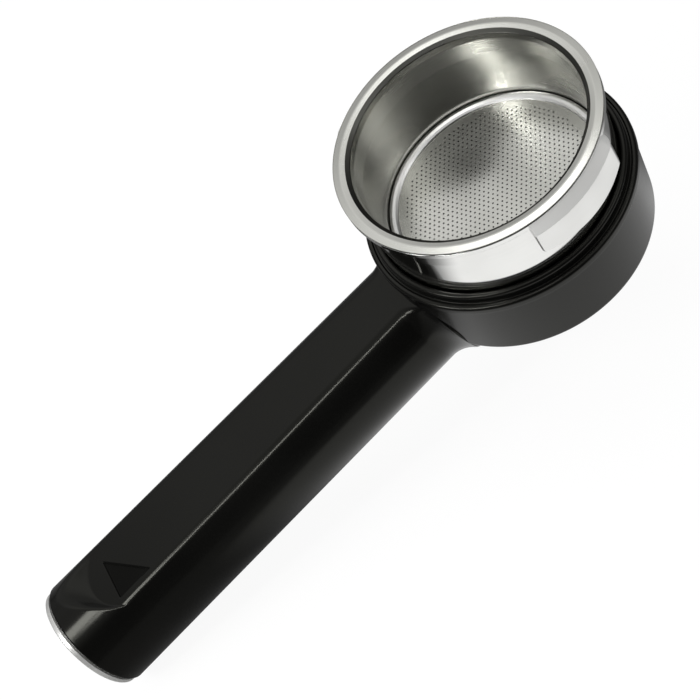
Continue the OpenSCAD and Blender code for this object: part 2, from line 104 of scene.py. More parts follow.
def rounded(corners, steps=ARC_STEPS):
    """Closed outline of (a, b) points from corners (a, b, radius).

    At a corner with turning angle t the arc starts radius * tan(t / 2) before the corner. Its points
    are the arm from the arc's centre to that start, turned by equal shares of t. A guard point just
    outside each end of the arc keeps the shading of the straight sides flat.
    """
    corners = np.asarray(corners, float)
    point, radius = corners[:, :2], corners[:, 2:]
    into = point - np.roll(point, 1, axis=0)
    into = into / np.linalg.norm(into, axis=1, keepdims=True)
    out = np.roll(into, -1, axis=0)
    cross = into[:, 0] * out[:, 1] - into[:, 1] * out[:, 0]
    turn = np.arctan2(cross, (into * out).sum(1))[:, None]
    reach = radius * np.abs(np.tan(turn / 2))
    start = point - into * reach
    left = np.stack([-into[:, 1], into[:, 0]], axis=1)
    centre = start + left * radius * np.sign(turn)
    arm = (start - centre)[:, None]
    angle = turn * np.linspace(0, 1, steps)
    arc = np.stack([
        arm[..., 0] * np.cos(angle) - arm[..., 1] * np.sin(angle),
        arm[..., 0] * np.sin(angle) + arm[..., 1] * np.cos(angle),
    ], axis=-1) + centre[:, None]
    before = (start - into * GUARD)[:, None]
    after = (point + out * (reach + GUARD))[:, None]
    return np.concatenate([before, arc, after], axis=1).reshape(-1, 2)


def turned(outline, count=240):
    """Solid of revolution: (r, z) goes to (r cos a, r sin a, z) at count equal angles a."""
    angle = np.linspace(0, 2 * np.pi, count, endpoint=False)[:, None]
    r, z = outline.T
    height = np.broadcast_to(z, (count, len(z)))
    return np.stack([r * np.cos(angle), r * np.sin(angle), height], axis=-1)


test_square = [(0, 0, 1), (4, 0, 1), (4, 4, 1), (0, 4, 1)]
print("a square with round corners has", len(rounded(test_square)), "points")

# %% [markdown]
# A grid of points becomes a mesh by joining each point to its neighbours. Closed shapes wrap round
# in one or both directions. After that, doubled points are merged, so that seams and poles are
# closed, and the faces are turned outwards. A skin here is a pair of arrays: points and four-sided
# faces.

# %% From grids to meshes
SHARP_ANGLE = np.radians(42)
MERGE_DISTANCE = 2e-7


def grid_skin(grid, wrap_rows=True, wrap_columns=True):
    """Points and quads of a (rows, columns, 3) grid.

    Point (i, j) is joined to i + 1 and j + 1. A wrapped direction joins its last line to its first.
    """
    rows, columns = grid.shape[:2]
    row_quads, column_quads = rows - (not wrap_rows), columns - (not wrap_columns)
    i, j = np.meshgrid(np.arange(row_quads), np.arange(column_quads), indexing="ij")
    next_i, next_j = (i + 1) % rows, (j + 1) % columns
    corners = [
        i * columns + j, next_i * columns + j, next_i * columns + next_j, i * columns + next_j,
    ]
    return grid.reshape(-1, 3), np.stack(corners, axis=-1).reshape(-1, 4)


def join_skins(*skins):
    """One skin from several, with each one's faces moved on by the points before it."""
    offsets = np.cumsum([0] + [len(points) for points, _ in skins])
    faces = [quads + offset for (_, quads), offset in zip(skins, offsets)]
    return np.concatenate([points for points, _ in skins]), np.concatenate(faces)


def make_mesh(name, skin):
    """Mesh object from a skin in millimetres: merged, turned outwards, smooth below SHARP_ANGLE."""
    points, quads = skin
    mesh = bpy.data.meshes.new(name)
    mesh.from_pydata(points * MM, [], quads.tolist())
    work = bmesh.new()
    work.from_mesh(mesh)
    bmesh.ops.remove_doubles(work, verts=work.verts, dist=MERGE_DISTANCE)
    bmesh.ops.dissolve_degenerate(work, edges=work.edges, dist=MERGE_DISTANCE)
    bmesh.ops.recalc_face_normals(work, faces=work.faces)
    work.to_mesh(mesh)
    work.free()
    mesh.shade_smooth()
    mesh.set_sharp_from_angle(angle=SHARP_ANGLE)
    piece = bpy.data.objects.new(name, mesh)
    bpy.context.scene.collection.objects.link(piece)
    return piece


print("meshes are smooth below", round(np.degrees(SHARP_ANGLE)), "degrees")

# %% [markdown]
# A finished piece gets its finish, rides on the body that it moves with, and hides the CAD node that
# it stands for. Some pieces carry a second finish on part of their faces, such as a blasted top. Those
# faces could be picked by hand in Edit Mode. Here they are chosen by where they lie and which way they
# look, so the choice follows the shape when a size changes.

# %% Finish and place of a piece
FACES_UP = 0.3


def settle(piece, finish, body, node):
    """Gives a piece its finish, puts it on the body that it rides on, and hides the CAD node it stands for.
    """
    piece.data.materials.clear()
    piece.data.materials.append(finish)
    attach(piece, body)
    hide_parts(node)
    print(piece.name, "has", len(piece.data.polygons), "faces, for", node)


def second_finish(piece, finish, inside):
    """Gives the faces that inside(middles in millimetres, normals) chooses a second finish."""
    mesh = piece.data
    middle, normal = np.empty((2, len(mesh.polygons), 3), np.float32)
    mesh.polygons.foreach_get("center", middle.ravel())
    mesh.polygons.foreach_get("normal", normal.ravel())
    chosen = inside(middle / MM, normal)
    mesh.materials.append(finish)
    mesh.polygons.foreach_set("material_index", chosen.astype(np.int32))
    print(piece.name, "has", chosen.sum(), "faces in", finish.name)


def looks_up(middle, normal):
    """Faces whose normal has a Z part above FACES_UP."""
    return normal[:, 2] > FACES_UP


print("bodies that pieces ride on:", HOLDER_BODY, "and", BASKET_BODY)

# %% [markdown]
# The finishes come before the pieces. Each one is a Principled shader with a pattern on the object's
# own coordinates, made of nodes. Nodes can be added by hand in the shader editor. In a script, a few
# short helpers keep the wiring readable.

# %% Node helpers
def add(tree, kind, settings=(), **links):
    """New node with its settings, each named input linked from a socket or set to a value."""
    node = tree.nodes.new(kind)
    for name, value in dict(settings).items():
        setattr(node, name, value)
    for name, value in links.items():
        numbered = name[0] == "i" and name[1:].isdigit()
        key = int(name[1:]) if numbered else name.replace("_", " ")
        if isinstance(value, bpy.types.NodeSocket):
            tree.links.new(value, node.inputs[key])
        else:
            node.inputs[key].default_value = value
    return node


def calculate(tree, operation, first, second):
    """Output of a Math node with two inputs."""
    node = add(tree, "ShaderNodeMath", {"operation": operation}, i0=first, i1=second)
    return node.outputs["Value"]


def vector_node(tree, operation, **links):
    """Outputs of a Vector Math node."""
    return add(tree, "ShaderNodeVectorMath", {"operation": operation}, **links).outputs


def soft_step(tree, value, start, end, low=0.0, high=1.0):
    """Output that goes from low at start to high at end as 3 t^2 - 2 t^3."""
    node = add(tree, "ShaderNodeMapRange", {"interpolation_type": "SMOOTHSTEP"}, Value=value,
               From_Min=start, From_Max=end, To_Min=low, To_Max=high)
    return node.outputs["Result"]


def new_group(name, size_name, size, result):
    """Empty shader group with a Vector and one size as inputs, and one value as its output."""
    group = bpy.data.node_groups.new(name, "ShaderNodeTree")
    group.interface.new_socket("Vector", in_out="INPUT", socket_type="NodeSocketVector")
    socket = group.interface.new_socket(size_name, in_out="INPUT", socket_type="NodeSocketFloat")
    socket.default_value = size
    group.interface.new_socket(result, in_out="OUTPUT", socket_type="NodeSocketFloat")
    inside, outside = group.nodes.new("NodeGroupInput"), group.nodes.new("NodeGroupOutput")
    return group, inside.outputs, outside.inputs[result]


print("node helpers ready:", [helper.__name__ for helper in (add, calculate, vector_node, soft_step)])

# %% [markdown]
# Three effects are shared by several finishes, so each is a node group with named sockets that is
# built once: the marks that turning and drawing leave in rings round an axis, the fine grain of a
# spark-eroded mould, and the soft smudges that hands and cloths leave. Image textures could do the
# same, but a pattern of noise has no seams and can be looked at from any distance.

# %% Shared effects
RING_DRIFT = 0.6
SMUDGE_RANGE = (0.3, 0.75)


def turning_marks_group():
    """Marks in rings about Z: noise read at (radius, height), which hardly changes with the angle."""
    group, inside, result = new_group("turning_marks", "Rings per mm", 4.0, "Marks")
    part = add(group, "ShaderNodeSeparateXYZ", Vector=inside["Vector"]).outputs
    flat = add(group, "ShaderNodeCombineXYZ", X=part["X"], Y=part["Y"]).outputs["Vector"]
    radius = vector_node(group, "LENGTH", Vector=flat)["Value"]
    slow = vector_node(group, "NORMALIZE", Vector=flat)["Vector"]
    drift = vector_node(group, "SCALE", Vector=slow, Scale=RING_DRIFT)["Vector"]
    per_metre = calculate(group, "DIVIDE", inside["Rings per mm"], MM)
    place = add(group, "ShaderNodeCombineXYZ", X=calculate(group, "MULTIPLY", radius, per_metre),
                Y=calculate(group, "MULTIPLY", part["Z"], per_metre)).outputs["Vector"]
    spot = vector_node(group, "ADD", i0=place, i1=drift)["Vector"]
    noise = add(group, "ShaderNodeTexNoise", Vector=spot, Scale=1.0, Detail=3.0)
    group.links.new(noise.outputs["Fac"], result)
    return group


def moulded_grain_group():
    """Fine pebbles: the distance to the middle of small cells, times noise of the same size."""
    group, inside, result = new_group("moulded_grain", "Grains per mm", 3.0, "Grain")
    per_metre = calculate(group, "DIVIDE", inside["Grains per mm"], MM)
    cells = add(group, "ShaderNodeTexVoronoi", {"feature": "SMOOTH_F1"},
                Vector=inside["Vector"], Scale=per_metre)
    noise = add(group, "ShaderNodeTexNoise", Vector=inside["Vector"], Scale=per_metre)
    mixed = calculate(group, "MULTIPLY", cells.outputs["Distance"], noise.outputs["Fac"])
    group.links.new(mixed, result)
    return group


def smudges_group():
    """Soft patches some millimetres wide: slow noise, with its middle range stretched."""
    group, inside, result = new_group("smudges", "Patch mm", 12.0, "Smudge")
    per_metre = calculate(group, "DIVIDE", 1 / MM, inside["Patch mm"])
    noise = add(group, "ShaderNodeTexNoise", Vector=inside["Vector"], Scale=per_metre, Detail=1.0)
    group.links.new(soft_step(group, noise.outputs["Fac"], *SMUDGE_RANGE), result)
    return group


TURNING_MARKS = turning_marks_group()
MOULDED_GRAIN = moulded_grain_group()
SMUDGES = smudges_group()
print("shared effects:", [group.name for group in bpy.data.node_groups])

# %% [markdown]
# A finish places these effects with its own values. Roughness runs between a clean and a dull value,
# the base colour between two close tones, and the pattern gives a bump far finer than a hair. What is
# the same all over, such as how metallic or glossy the surface is, is set on the shader itself.

# %% One recipe for every finish
HANDLE_DROOP = np.radians(15)
HANDLE_CROSSING = -30.0
PATTERN_SHARE = 0.5
DULLEST = 1.2


def finish(name, effect, effect_input, effect_size, tones, roughness, metallic, bump,
           patch=12.0, gloss=0.5, tint=(1, 1, 1, 1), along_handle=False):
    """Principled finish: tones and roughness are (clean, dull) pairs, bump is a height in metres."""
    material = bpy.data.materials.new(name)
    material.use_nodes = True
    tree = material.node_tree
    shader = tree.nodes["Principled BSDF"]
    shader.inputs["Metallic"].default_value = metallic
    shader.inputs["Specular IOR Level"].default_value = gloss
    shader.inputs["Specular Tint"].default_value = tint
    place = add(tree, "ShaderNodeTexCoord").outputs["Object"]
    if along_handle:
        turn = (0, np.pi / 2 + HANDLE_DROOP, 0)
        place = add(tree, "ShaderNodeMapping", {"vector_type": "TEXTURE"}, Vector=place,
                    Location=(0, 0, HANDLE_CROSSING * MM), Rotation=turn).outputs["Vector"]
    pattern = add(tree, "ShaderNodeGroup", {"node_tree": effect}, Vector=place)
    pattern.inputs[effect_input].default_value = effect_size
    smudge = add(tree, "ShaderNodeGroup", {"node_tree": SMUDGES}, Vector=place)
    smudge.inputs["Patch mm"].default_value = patch
    blend = add(tree, "ShaderNodeMath", {"operation": "MULTIPLY_ADD", "use_clamp": True},
                i0=pattern.outputs[0], i1=PATTERN_SHARE, i2=smudge.outputs["Smudge"])
    rough = add(tree, "ShaderNodeMapRange", Value=blend.outputs["Value"], From_Max=DULLEST,
                To_Min=roughness[0], To_Max=roughness[1])
    tone = add(tree, "ShaderNodeMix", {"data_type": "RGBA"}, Factor=blend.outputs["Value"])
    tone.inputs[6].default_value = (*tones[0], 1)
    tone.inputs[7].default_value = (*tones[1], 1)
    relief = add(tree, "ShaderNodeBump", Height=pattern.outputs[0], Distance=bump)
    tree.links.new(tone.outputs[2], shader.inputs["Base Color"])
    tree.links.new(rough.outputs["Result"], shader.inputs["Roughness"])
    tree.links.new(relief.outputs["Normal"], shader.inputs["Normal"])
    return material


def metal(name, tones, roughness, rings, bump, metallic=1.0, **more):
    """Metal with turning marks."""
    return finish(name, TURNING_MARKS, "Rings per mm", rings, tones, roughness, metallic, bump, **more)


def moulded(name, tones, roughness, grains, bump, **more):
    """Moulded plastic or rubber with its grain."""
    return finish(name, MOULDED_GRAIN, "Grains per mm", grains, tones, roughness, 0.0, bump, **more)


print("the handle's finishes are turned by", round(np.degrees(HANDLE_DROOP)), "degrees")

# %% [markdown]
# The metals differ more in roughness than in colour. The cup is bright chrome plate, the lugs are
# satin, and their blasted tops scatter the light so much that they are half way to a matt surface. The
# basket is drawn steel, with a slightly warm grey. The cone at its mouth gets painted shade: a much
# darker steel that stands for the shade inside the rim. The black plastics are almost without colour of
# their own: what shows is their gloss, which is a little warm.

# %% Metals, plastics and rubbers
CHROME_TONES = ((0.84, 0.84, 0.82), (0.78, 0.78, 0.76))
STEEL_TONES = ((0.62, 0.62, 0.585), (0.54, 0.54, 0.505))
# Painted shade: the mouth's cone is coloured this dark to stand for the shade inside the rim.
PAINTED_SHADE_TONES = ((0.13, 0.13, 0.12), (0.09, 0.09, 0.08))
ZINC_TONES = ((0.55, 0.55, 0.52), (0.42, 0.42, 0.39))
BLACK_TONES = ((0.0035, 0.0035, 0.0032), (0.005, 0.005, 0.0046))
RUBBER_TONES = ((0.02, 0.02, 0.02), (0.03, 0.03, 0.03))
RED_TONES = ((0.24, 0.05, 0.03), (0.18, 0.04, 0.03))
WARM_GLOSS = (1, 1, 0.9, 1)

chrome_plate = metal("chrome_plate", CHROME_TONES, (0.05, 0.1), 1.5, 1e-6)
satin_chrome = metal("satin_chrome", CHROME_TONES, (0.3, 0.4), 3.0, 3e-6)
blasted_chrome = metal("blasted_chrome", CHROME_TONES, (0.38, 0.48), 3.0, 3e-6, metallic=0.25)
chrome_cap = metal("chrome_cap", CHROME_TONES, (0.24, 0.3), 3.0, 1e-6, metallic=0.6,
                   along_handle=True)
drawn_steel = metal("drawn_steel", STEEL_TONES, (0.2, 0.3), 2.2, 3e-6, patch=30.0)
screen_steel = metal("screen_steel", STEEL_TONES, (0.22, 0.3), 1.5, 2e-6, patch=14.0)
# Painted shade for the cone of the basket's mouth.
painted_mouth_shade = metal("painted_mouth_shade", PAINTED_SHADE_TONES, (0.25, 0.35), 2.2, 3e-6)
bright_steel = metal("bright_steel", CHROME_TONES, (0.26, 0.34), 2.2, 3e-6)
spring_steel = metal("spring_steel", ZINC_TONES, (0.3, 0.42), 8.0, 3e-6)
zinc_plate = metal("zinc_plate", ZINC_TONES, (0.3, 0.5), 4.0, 6e-6, patch=4.0)
satin_plastic = moulded("satin_plastic", BLACK_TONES, (0.15, 0.21), 3.0, 3e-6, patch=25.0,
                        gloss=0.22, tint=WARM_GLOSS)
dull_plastic = moulded("dull_plastic", BLACK_TONES, (0.5, 0.6), 5.0, 8e-6,
                       gloss=0.06, tint=WARM_GLOSS)
gloss_plastic = moulded("gloss_plastic", BLACK_TONES, (0.22, 0.3), 2.0, 2e-6, patch=18.0,
                        gloss=0.3, tint=WARM_GLOSS)
black_rubber = moulded("black_rubber", RUBBER_TONES, (0.6, 0.75), 4.0, 8e-6)
red_rubber = moulded("red_rubber", RED_TONES, (0.55, 0.7), 4.0, 8e-6)
print("materials, with those of the frame:", len(bpy.data.materials))

# %% [markdown]
# The basket is one drawn sheet of steel: a flat rim that the machine's gasket seals on, a short cone at
# the mouth, a wall that is straight at the top for the tamper and narrows a little below, and a ledge
# for the filter screen with a pressure chamber under it. It could be a thin surface with Solidify, but
# the rim and the ledge have their own sections. So the sheet's whole section is one closed outline, and
# the outside is there too when the basket is lifted out.

# %% Basket section
SHEET = 0.5
RIM_REACH = 4.0
RIM_THICKNESS = 0.8
RIM_ROLL = 0.3
RIM_EDGE = 0.12
RIM_FALL = 0.24
RIM_CREST = 2.4
RIM_LIFT = 1.0
RIM_STEP = 0.2
MOUTH_EDGE = (1.25, 0.21)
MOUTH_FOOT = (0.35, 0.8)
MOUTH_DEPTH = 2.2
TAMP_DEPTH = 7.0
WALL_FOOT = 0.05
LEDGE_PLAY = 0.04
RING_WIDTH = 2.0
EDGE_GROOVE = 0.22
EDGE_GROOVE_HEIGHT = 1.1
JET_RADIUS = 0.5
FINE_EDGE = 0.12

basket_low, basket_high = span("basket")
screen_low, screen_high = span("filter_screen")
ring_low, ring_high = span("screen_ring")
rim_radius = basket_high[0]
wall_radius = rim_radius - RIM_REACH
seat_radius = screen_high[0]
ledge_radius = seat_radius - RING_WIDTH
chamber_floor = basket_low[2] + SHEET
groove_top = ring_high[2] + EDGE_GROOVE_HEIGHT

# Each row is a corner: radius, height and the corner's own rounding.
basket_outline = rounded([
    (wall_radius, basket_high[2] - MOUTH_DEPTH, 2.0),
    (wall_radius + MOUTH_FOOT[0], basket_high[2] - MOUTH_FOOT[1], 0.3),
    (wall_radius + MOUTH_EDGE[0], basket_high[2] - MOUTH_EDGE[1], 0.15),
    (wall_radius + RIM_CREST, basket_high[2], 1.5),
    (rim_radius, basket_high[2] - RIM_FALL, RIM_EDGE),
    (rim_radius, -RIM_ROLL, RIM_EDGE),
    (rim_radius - RIM_LIFT, -RIM_ROLL, FINE_EDGE),
    (rim_radius - RIM_LIFT - RIM_STEP, -RIM_THICKNESS, FINE_EDGE),
    (wall_radius + SHEET, -RIM_THICKNESS, FINE_EDGE),
    (wall_radius + SHEET, -TAMP_DEPTH, 2.0),
    (seat_radius + SHEET, screen_high[2], 0.3),
    (seat_radius + SHEET, screen_low[2] - SHEET, 0.45),
    (ledge_radius + SHEET, screen_low[2] - SHEET, 0.3),
    (ledge_radius + SHEET, basket_low[2], 0.8),
    (JET_RADIUS, basket_low[2], 0.1),
    (JET_RADIUS, chamber_floor, 0.1),
    (ledge_radius, chamber_floor, 0.4),
    (ledge_radius, screen_low[2], 0.1),
    (seat_radius + LEDGE_PLAY, screen_low[2], 0.1),
    (seat_radius + EDGE_GROOVE, screen_high[2], 0.1),
    (seat_radius + EDGE_GROOVE, groove_top, FINE_EDGE),
    (seat_radius + WALL_FOOT, groove_top, FINE_EDGE),
    (wall_radius, -TAMP_DEPTH, 6.0),
])
print("the basket's section has", len(basket_outline), "points")

# %% [markdown]
# The section is turned into the sheet. The cone at the mouth gets painted shade, a much darker steel: a
# dark line of shade runs round inside the bright rim. On the near side the rim hides the cone, as it
# should.

# %% Basket sheet
TURNED_COUNT = 288


def in_shaded_mouth(middle, normal):
    """The cone of the mouth, where the shade is painted: faces between the wall and the mouth's edge that
    look upwards.
    """
    past_wall = np.hypot(middle[:, 0], middle[:, 1]) - wall_radius
    return (past_wall > 0) & (past_wall < MOUTH_EDGE[0]) & looks_up(middle, normal)


basket = make_mesh("basket_sheet", grid_skin(turned(basket_outline, TURNED_COUNT)))
settle(basket, drawn_steel, BASKET_BODY, "basket")
# The mouth's cone gets painted shade, a dark steel where shade lies inside the rim.
second_finish(basket, painted_mouth_shade, in_shaded_mouth)

# %% [markdown]
# A bright ring lies on the screen's edge and holds it on the ledge. It is a pressed ring with a low
# crest and a lip that falls to the screen, so it catches one broad line of light.

# %% Screen ring
RING_SHOULDER = 0.15
RING_CREST = 0.7
RING_LIP = (0.6, 0.2)
RING_FOOT = (0.05, 0.25)

ring_outline = rounded([
    (ring_high[0], ring_low[2], 0.1),
    (ring_high[0], ring_high[2] - RING_SHOULDER, 0.3),
    (ring_high[0] - RING_CREST, ring_high[2], 0.8),
    (ledge_radius + RING_LIP[0], ring_high[2] - RING_LIP[1], 0.6),
    (ledge_radius + RING_FOOT[0], ring_low[2] + RING_FOOT[1], 0.2),
    (ledge_radius + RING_FOOT[0], ring_low[2], 0.05),
])
ring = make_mesh("screen_clamp_ring", grid_skin(turned(ring_outline, TURNED_COUNT)))
settle(ring, bright_steel, BASKET_BODY, "screen_ring")

# %% [markdown]
# The filter screen has more than a thousand holes. A texture of dots would look flat from close up, so
# the holes are real. Cutting them with Booleans would be slow and leave thin triangles. Instead each
# hole sits in its own six-sided tile, and tiles of a triangular pattern fit without gaps: twelve points
# on the tile's edge are joined to twelve on the hole's edge, above and below, and the two hole edges
# are joined by the hole's wall.

# %% Tiles with holes
HOLE_PITCH = 1.2
HOLE_RADIUS = 0.21
FIELD_RADIUS = 22.2
TILE_POINTS = 12


def tile_centres(pitch, limit):
    """Triangular pattern: rows sin 60 of a pitch apart, every other row moved half a pitch."""
    reach = np.arange(-int(limit / pitch) - 2, int(limit / pitch) + 3)
    column, row = np.meshgrid(reach, reach)
    across = (column + 0.5 * (row % 2)) * pitch
    centres = np.stack([across, row * pitch * np.sin(np.pi / 3)], axis=-1).reshape(-1, 2)
    return centres[np.linalg.norm(centres, axis=1) < limit - pitch]


def tile_rings():
    """Tile edge above, hole edge above, hole edge below, tile edge below, round every centre.

    A tile's edge lies half a pitch from its centre at the middle of a side, and 1 / sqrt 3 of a pitch
    at a corner.
    """
    angle = np.arange(TILE_POINTS) * 2 * np.pi / TILE_POINTS
    direction = np.stack([np.cos(angle), np.sin(angle)], axis=-1)
    at_corner = np.arange(TILE_POINTS) % 2
    edge = direction * np.where(at_corner, HOLE_PITCH / np.sqrt(3), HOLE_PITCH / 2)[:, None]
    hole = direction * HOLE_RADIUS
    return tile_centres(HOLE_PITCH, FIELD_RADIUS)[:, None, None] + np.stack([edge, hole, hole, edge])


def tile_skin(flat):
    """Points at their heights, and quads between each ring and the next."""
    level = np.array([screen_high[2], screen_high[2], screen_low[2], screen_low[2]])
    height = np.broadcast_to(level[None, :, None, None], (*flat.shape[:3], 1))
    points = np.concatenate([flat, height], axis=-1)
    start = (np.arange(len(points)) * 4 * TILE_POINTS)[:, None, None]
    around = np.arange(TILE_POINTS)
    onward = (around + 1) % TILE_POINTS
    step = (np.arange(3) * TILE_POINTS)[:, None]
    quads = np.stack([
        start + step + around, start + step + onward,
        start + step + TILE_POINTS + onward, start + step + TILE_POINTS + around,
    ], axis=-1).reshape(-1, 4)
    return points.reshape(-1, 3), quads


print("holes in the screen:", len(tile_centres(HOLE_PITCH, FIELD_RADIUS)))

# %% [markdown]
# Where the pattern ends, the outer tile edges are carried out to the disc's rim. An edge is an outer one
# if no other tile shares its middle. A pressed sheet is also never quite flat. A slight wave in it
# gives the screen the soft light and dark patches that a flat mirror wouldn't have.

# %% Filter screen
WAVE_TILT = 0.075
WAVE_ACROSS = 30.0
WAVE_LENGTH = 8.0
WAVE_MIDDLE = (1.5, -9.0)


def band_skin(flat):
    """Quads from each outer tile edge straight out to the disc's rim: top, rim and underside."""
    onward = (np.arange(TILE_POINTS) + 1) % TILE_POINTS
    edge_from = flat[:, 0].reshape(-1, 2)
    edge_to = flat[:, 0][:, onward].reshape(-1, 2)
    middle = np.round((edge_from + edge_to) / 2, 4) + 0.0
    _, first, count = np.unique(middle, axis=0, return_index=True, return_counts=True)
    outer = first[count == 1]

    def section(near):
        """The band's section at a point of the pattern's edge: near and far above, far and near below."""
        far = seat_radius * near / np.linalg.norm(near, axis=1, keepdims=True)
        flat_section = np.stack([near, far, far, near], axis=1)
        level = np.array([screen_high[2], screen_high[2], screen_low[2], screen_low[2]])
        height = np.broadcast_to(level[None, :, None], (len(near), 4, 1))
        return np.concatenate([flat_section, height], axis=-1)

    band = np.concatenate([section(edge_from[outer]), section(edge_to[outer])], axis=1)
    base = (np.arange(len(band)) * 8)[:, None, None]
    strip = np.array([[0, 1, 5, 4], [1, 2, 6, 5], [2, 3, 7, 6]])
    return band.reshape(-1, 3), (base + strip).reshape(-1, 4)


def waved(points):
    """Height plus a wave: a soft step along y times a cosine along x, fading out to the rim."""
    x, y, z = points.T
    fade = np.clip(1 - (x * x + y * y) / ledge_radius ** 2, 0, 1) ** 0.5
    along = WAVE_LENGTH * np.tanh((y - WAVE_MIDDLE[1]) / WAVE_LENGTH)
    wave = WAVE_TILT * along * np.cos(2 * np.pi * (x - WAVE_MIDDLE[0]) / WAVE_ACROSS)
    return np.stack([x, y, z + wave * fade], axis=1)


rings_of_tiles = tile_rings()
screen_points, screen_quads = join_skins(tile_skin(rings_of_tiles), band_skin(rings_of_tiles))
screen = make_mesh("filter_screen_sheet", (waved(screen_points), screen_quads))
settle(screen, screen_steel, BASKET_BODY, "filter_screen")

# %% [markdown]
# The holder is a polished casting with chrome on it. Its cup is turned: a top flange under the basket's
# rim, a wall that follows the basket, a floor that falls to the outlet, and the outlet nipple. Bright
# chrome needs little pattern: what it shows is the white floor and the black bowl around it.

# %% Holder cup
HOLDER_WALL = 1.6
BASKET_GAP = 0.3
FLANGE_THICKNESS = 1.3
SUMP_DEPTH = 1.5
FLOOR_THICKNESS = 2.2
FLOOR_FALL = 0.8
OUTLET_RADIUS = 4.5
NIPPLE_RADIUS = 8.3

holder_low, holder_high = span("holder")
holder_top = holder_high[2]
flange_radius = holder_high[0]
holder_in = wall_radius + SHEET + BASKET_GAP
holder_in_low = seat_radius + WALL_FOOT + SHEET + BASKET_GAP
floor_top = basket_low[2] - SUMP_DEPTH
floor_under = floor_top - FLOOR_FALL - FLOOR_THICKNESS

holder_outline = rounded([
    (holder_in, holder_top, 0.3),
    (flange_radius, holder_top, 0.12),
    (flange_radius, holder_top - FLANGE_THICKNESS, 0.3),
    (holder_in + HOLDER_WALL, holder_top - FLANGE_THICKNESS, 0.4),
    (holder_in + HOLDER_WALL, -TAMP_DEPTH, 8.0),
    (holder_in_low + HOLDER_WALL, screen_high[2], 4.0),
    (holder_in_low + HOLDER_WALL, floor_under, 1.0),
    (NIPPLE_RADIUS, floor_under, 0.8),
    (NIPPLE_RADIUS, holder_low[2], 0.5),
    (OUTLET_RADIUS, holder_low[2], 0.4),
    (OUTLET_RADIUS, floor_top - FLOOR_FALL, 0.8),
    (holder_in_low, floor_top, 1.2),
    (holder_in_low, screen_high[2], 4.0),
    (holder_in, -TAMP_DEPTH, 4.0),
])
holder = make_mesh("holder_cup", grid_skin(turned(holder_outline, TURNED_COUNT)))
settle(holder, chrome_plate, HOLDER_BODY, "holder")

# %% [markdown]
# The bayonet lugs can't be turned. A lug is one section carried round part of a circle, while its outer
# radius and its underside change on the way: the leading end is rounded off, and the underside is
# crowned so that it wedges under the group. The top slopes down from the flange and is blasted, so it
# stays an even grey beside the bright sides.

# %% Bayonet lugs
LUG_STARTS = np.radians([86.5, 266.5])
LUG_SPAN = np.radians(52)
LUG_SINK = 0.05
LUG_DROP = 2.1
LUG_HEIGHT = 5.1
LUG_CROWN = 1.8
LUG_EDGE = 0.15
LUG_LEAD = 0.3
LUG_TAIL = 0.35
LUG_ROWS = 96

lug_radius = holder_high[1]


def lug_skin(start):
    """Section (u, v) carried round: radius = root + (outer - root) u, height = top + (bottom - top) v.

    The section's top slopes from the flange's edge down to the outer edge. The outer radius is the
    lug's, but on the leading end it is the ray's distance to a circle about the root. The bottom is a
    circle's arc, lowest in the middle. The first sections shrink, which rounds the tail.
    """
    root = holder_in + HOLDER_WALL / 2
    top = holder_top - LUG_SINK
    width, height = lug_radius - root, LUG_DROP + LUG_HEIGHT + LUG_CROWN
    section = rounded([
        (0, 0, 0.2),
        (flange_radius - root, 0, LUG_EDGE),
        (width, LUG_DROP, LUG_EDGE),
        (width, height, LUG_EDGE),
        (0, height, 0.2),
    ])
    u, v = section.T / np.array([[width], [height]])
    angle = np.linspace(0, LUG_SPAN, LUG_ROWS)[:, None]
    nose = width + LUG_LEAD
    past = angle - (LUG_SPAN - np.arcsin(nose / root))
    ray = root * np.cos(past) + np.sqrt(np.clip(nose ** 2 - (root * np.sin(past)) ** 2, 0, None))
    outer = np.where(past > 0, np.minimum(lug_radius, ray), lug_radius)
    half_chord = lug_radius * np.sin(LUG_SPAN / 2)
    crown_radius = (half_chord ** 2 + LUG_CROWN ** 2) / (2 * LUG_CROWN)
    along = lug_radius * np.sin(angle - LUG_SPAN / 2)
    bottom = top - height + crown_radius - np.sqrt(crown_radius ** 2 - along ** 2)
    ease = np.clip(angle * lug_radius / LUG_TAIL, 0, 1)
    inset = LUG_TAIL * (1 - np.sqrt(1 - (1 - ease) ** 2)) * (angle < LUG_SPAN / 2)
    r = root + (outer - root - inset) * u
    z = top - inset + (bottom - top + 2 * inset) * v
    loop = np.stack([r * np.cos(angle + start), r * np.sin(angle + start), z], axis=-1)
    ends = np.broadcast_to(loop[[0, -1]].mean(1, keepdims=True), (2, loop.shape[1], 3))
    return grid_skin(np.concatenate([ends[:1], loop, ends[1:]]), wrap_rows=False)


lugs = make_mesh("holder_lugs", join_skins(*[lug_skin(start) for start in LUG_STARTS]))
settle(lugs, satin_chrome, HOLDER_BODY, "holder")
second_finish(lugs, blasted_chrome, looks_up)

# %% [markdown]
# The collar closes the gap between the chromed cup and the bowl. It has two lips with a shadow groove
# between them, and a tongue below that keys it into the bowl's edge. Gloss plastic needs no more than
# round lips: the lines of light that run round it come from their curvature.

# %% Collar
LIP_WIDTH = 1.5
LIP_HEIGHT = 1.9
SHOULDER_WIDTH = 1.7
TONGUE_WIDTH = 0.9
GROOVE_WIDTH = 0.5
GROOVE_DEPTH = 0.35

collar_low, collar_high = span("collar")
shell_low, shell_high = span("shell")
collar_under = shell_high[2]
bowl_radius = -shell_low[0]
collar_in = collar_high[0] - LIP_WIDTH - SHOULDER_WIDTH
shoulder_top = collar_high[2] - LIP_HEIGHT
groove_floor = shoulder_top - GROOVE_DEPTH
tongue_middle = (collar_in + bowl_radius) / 2

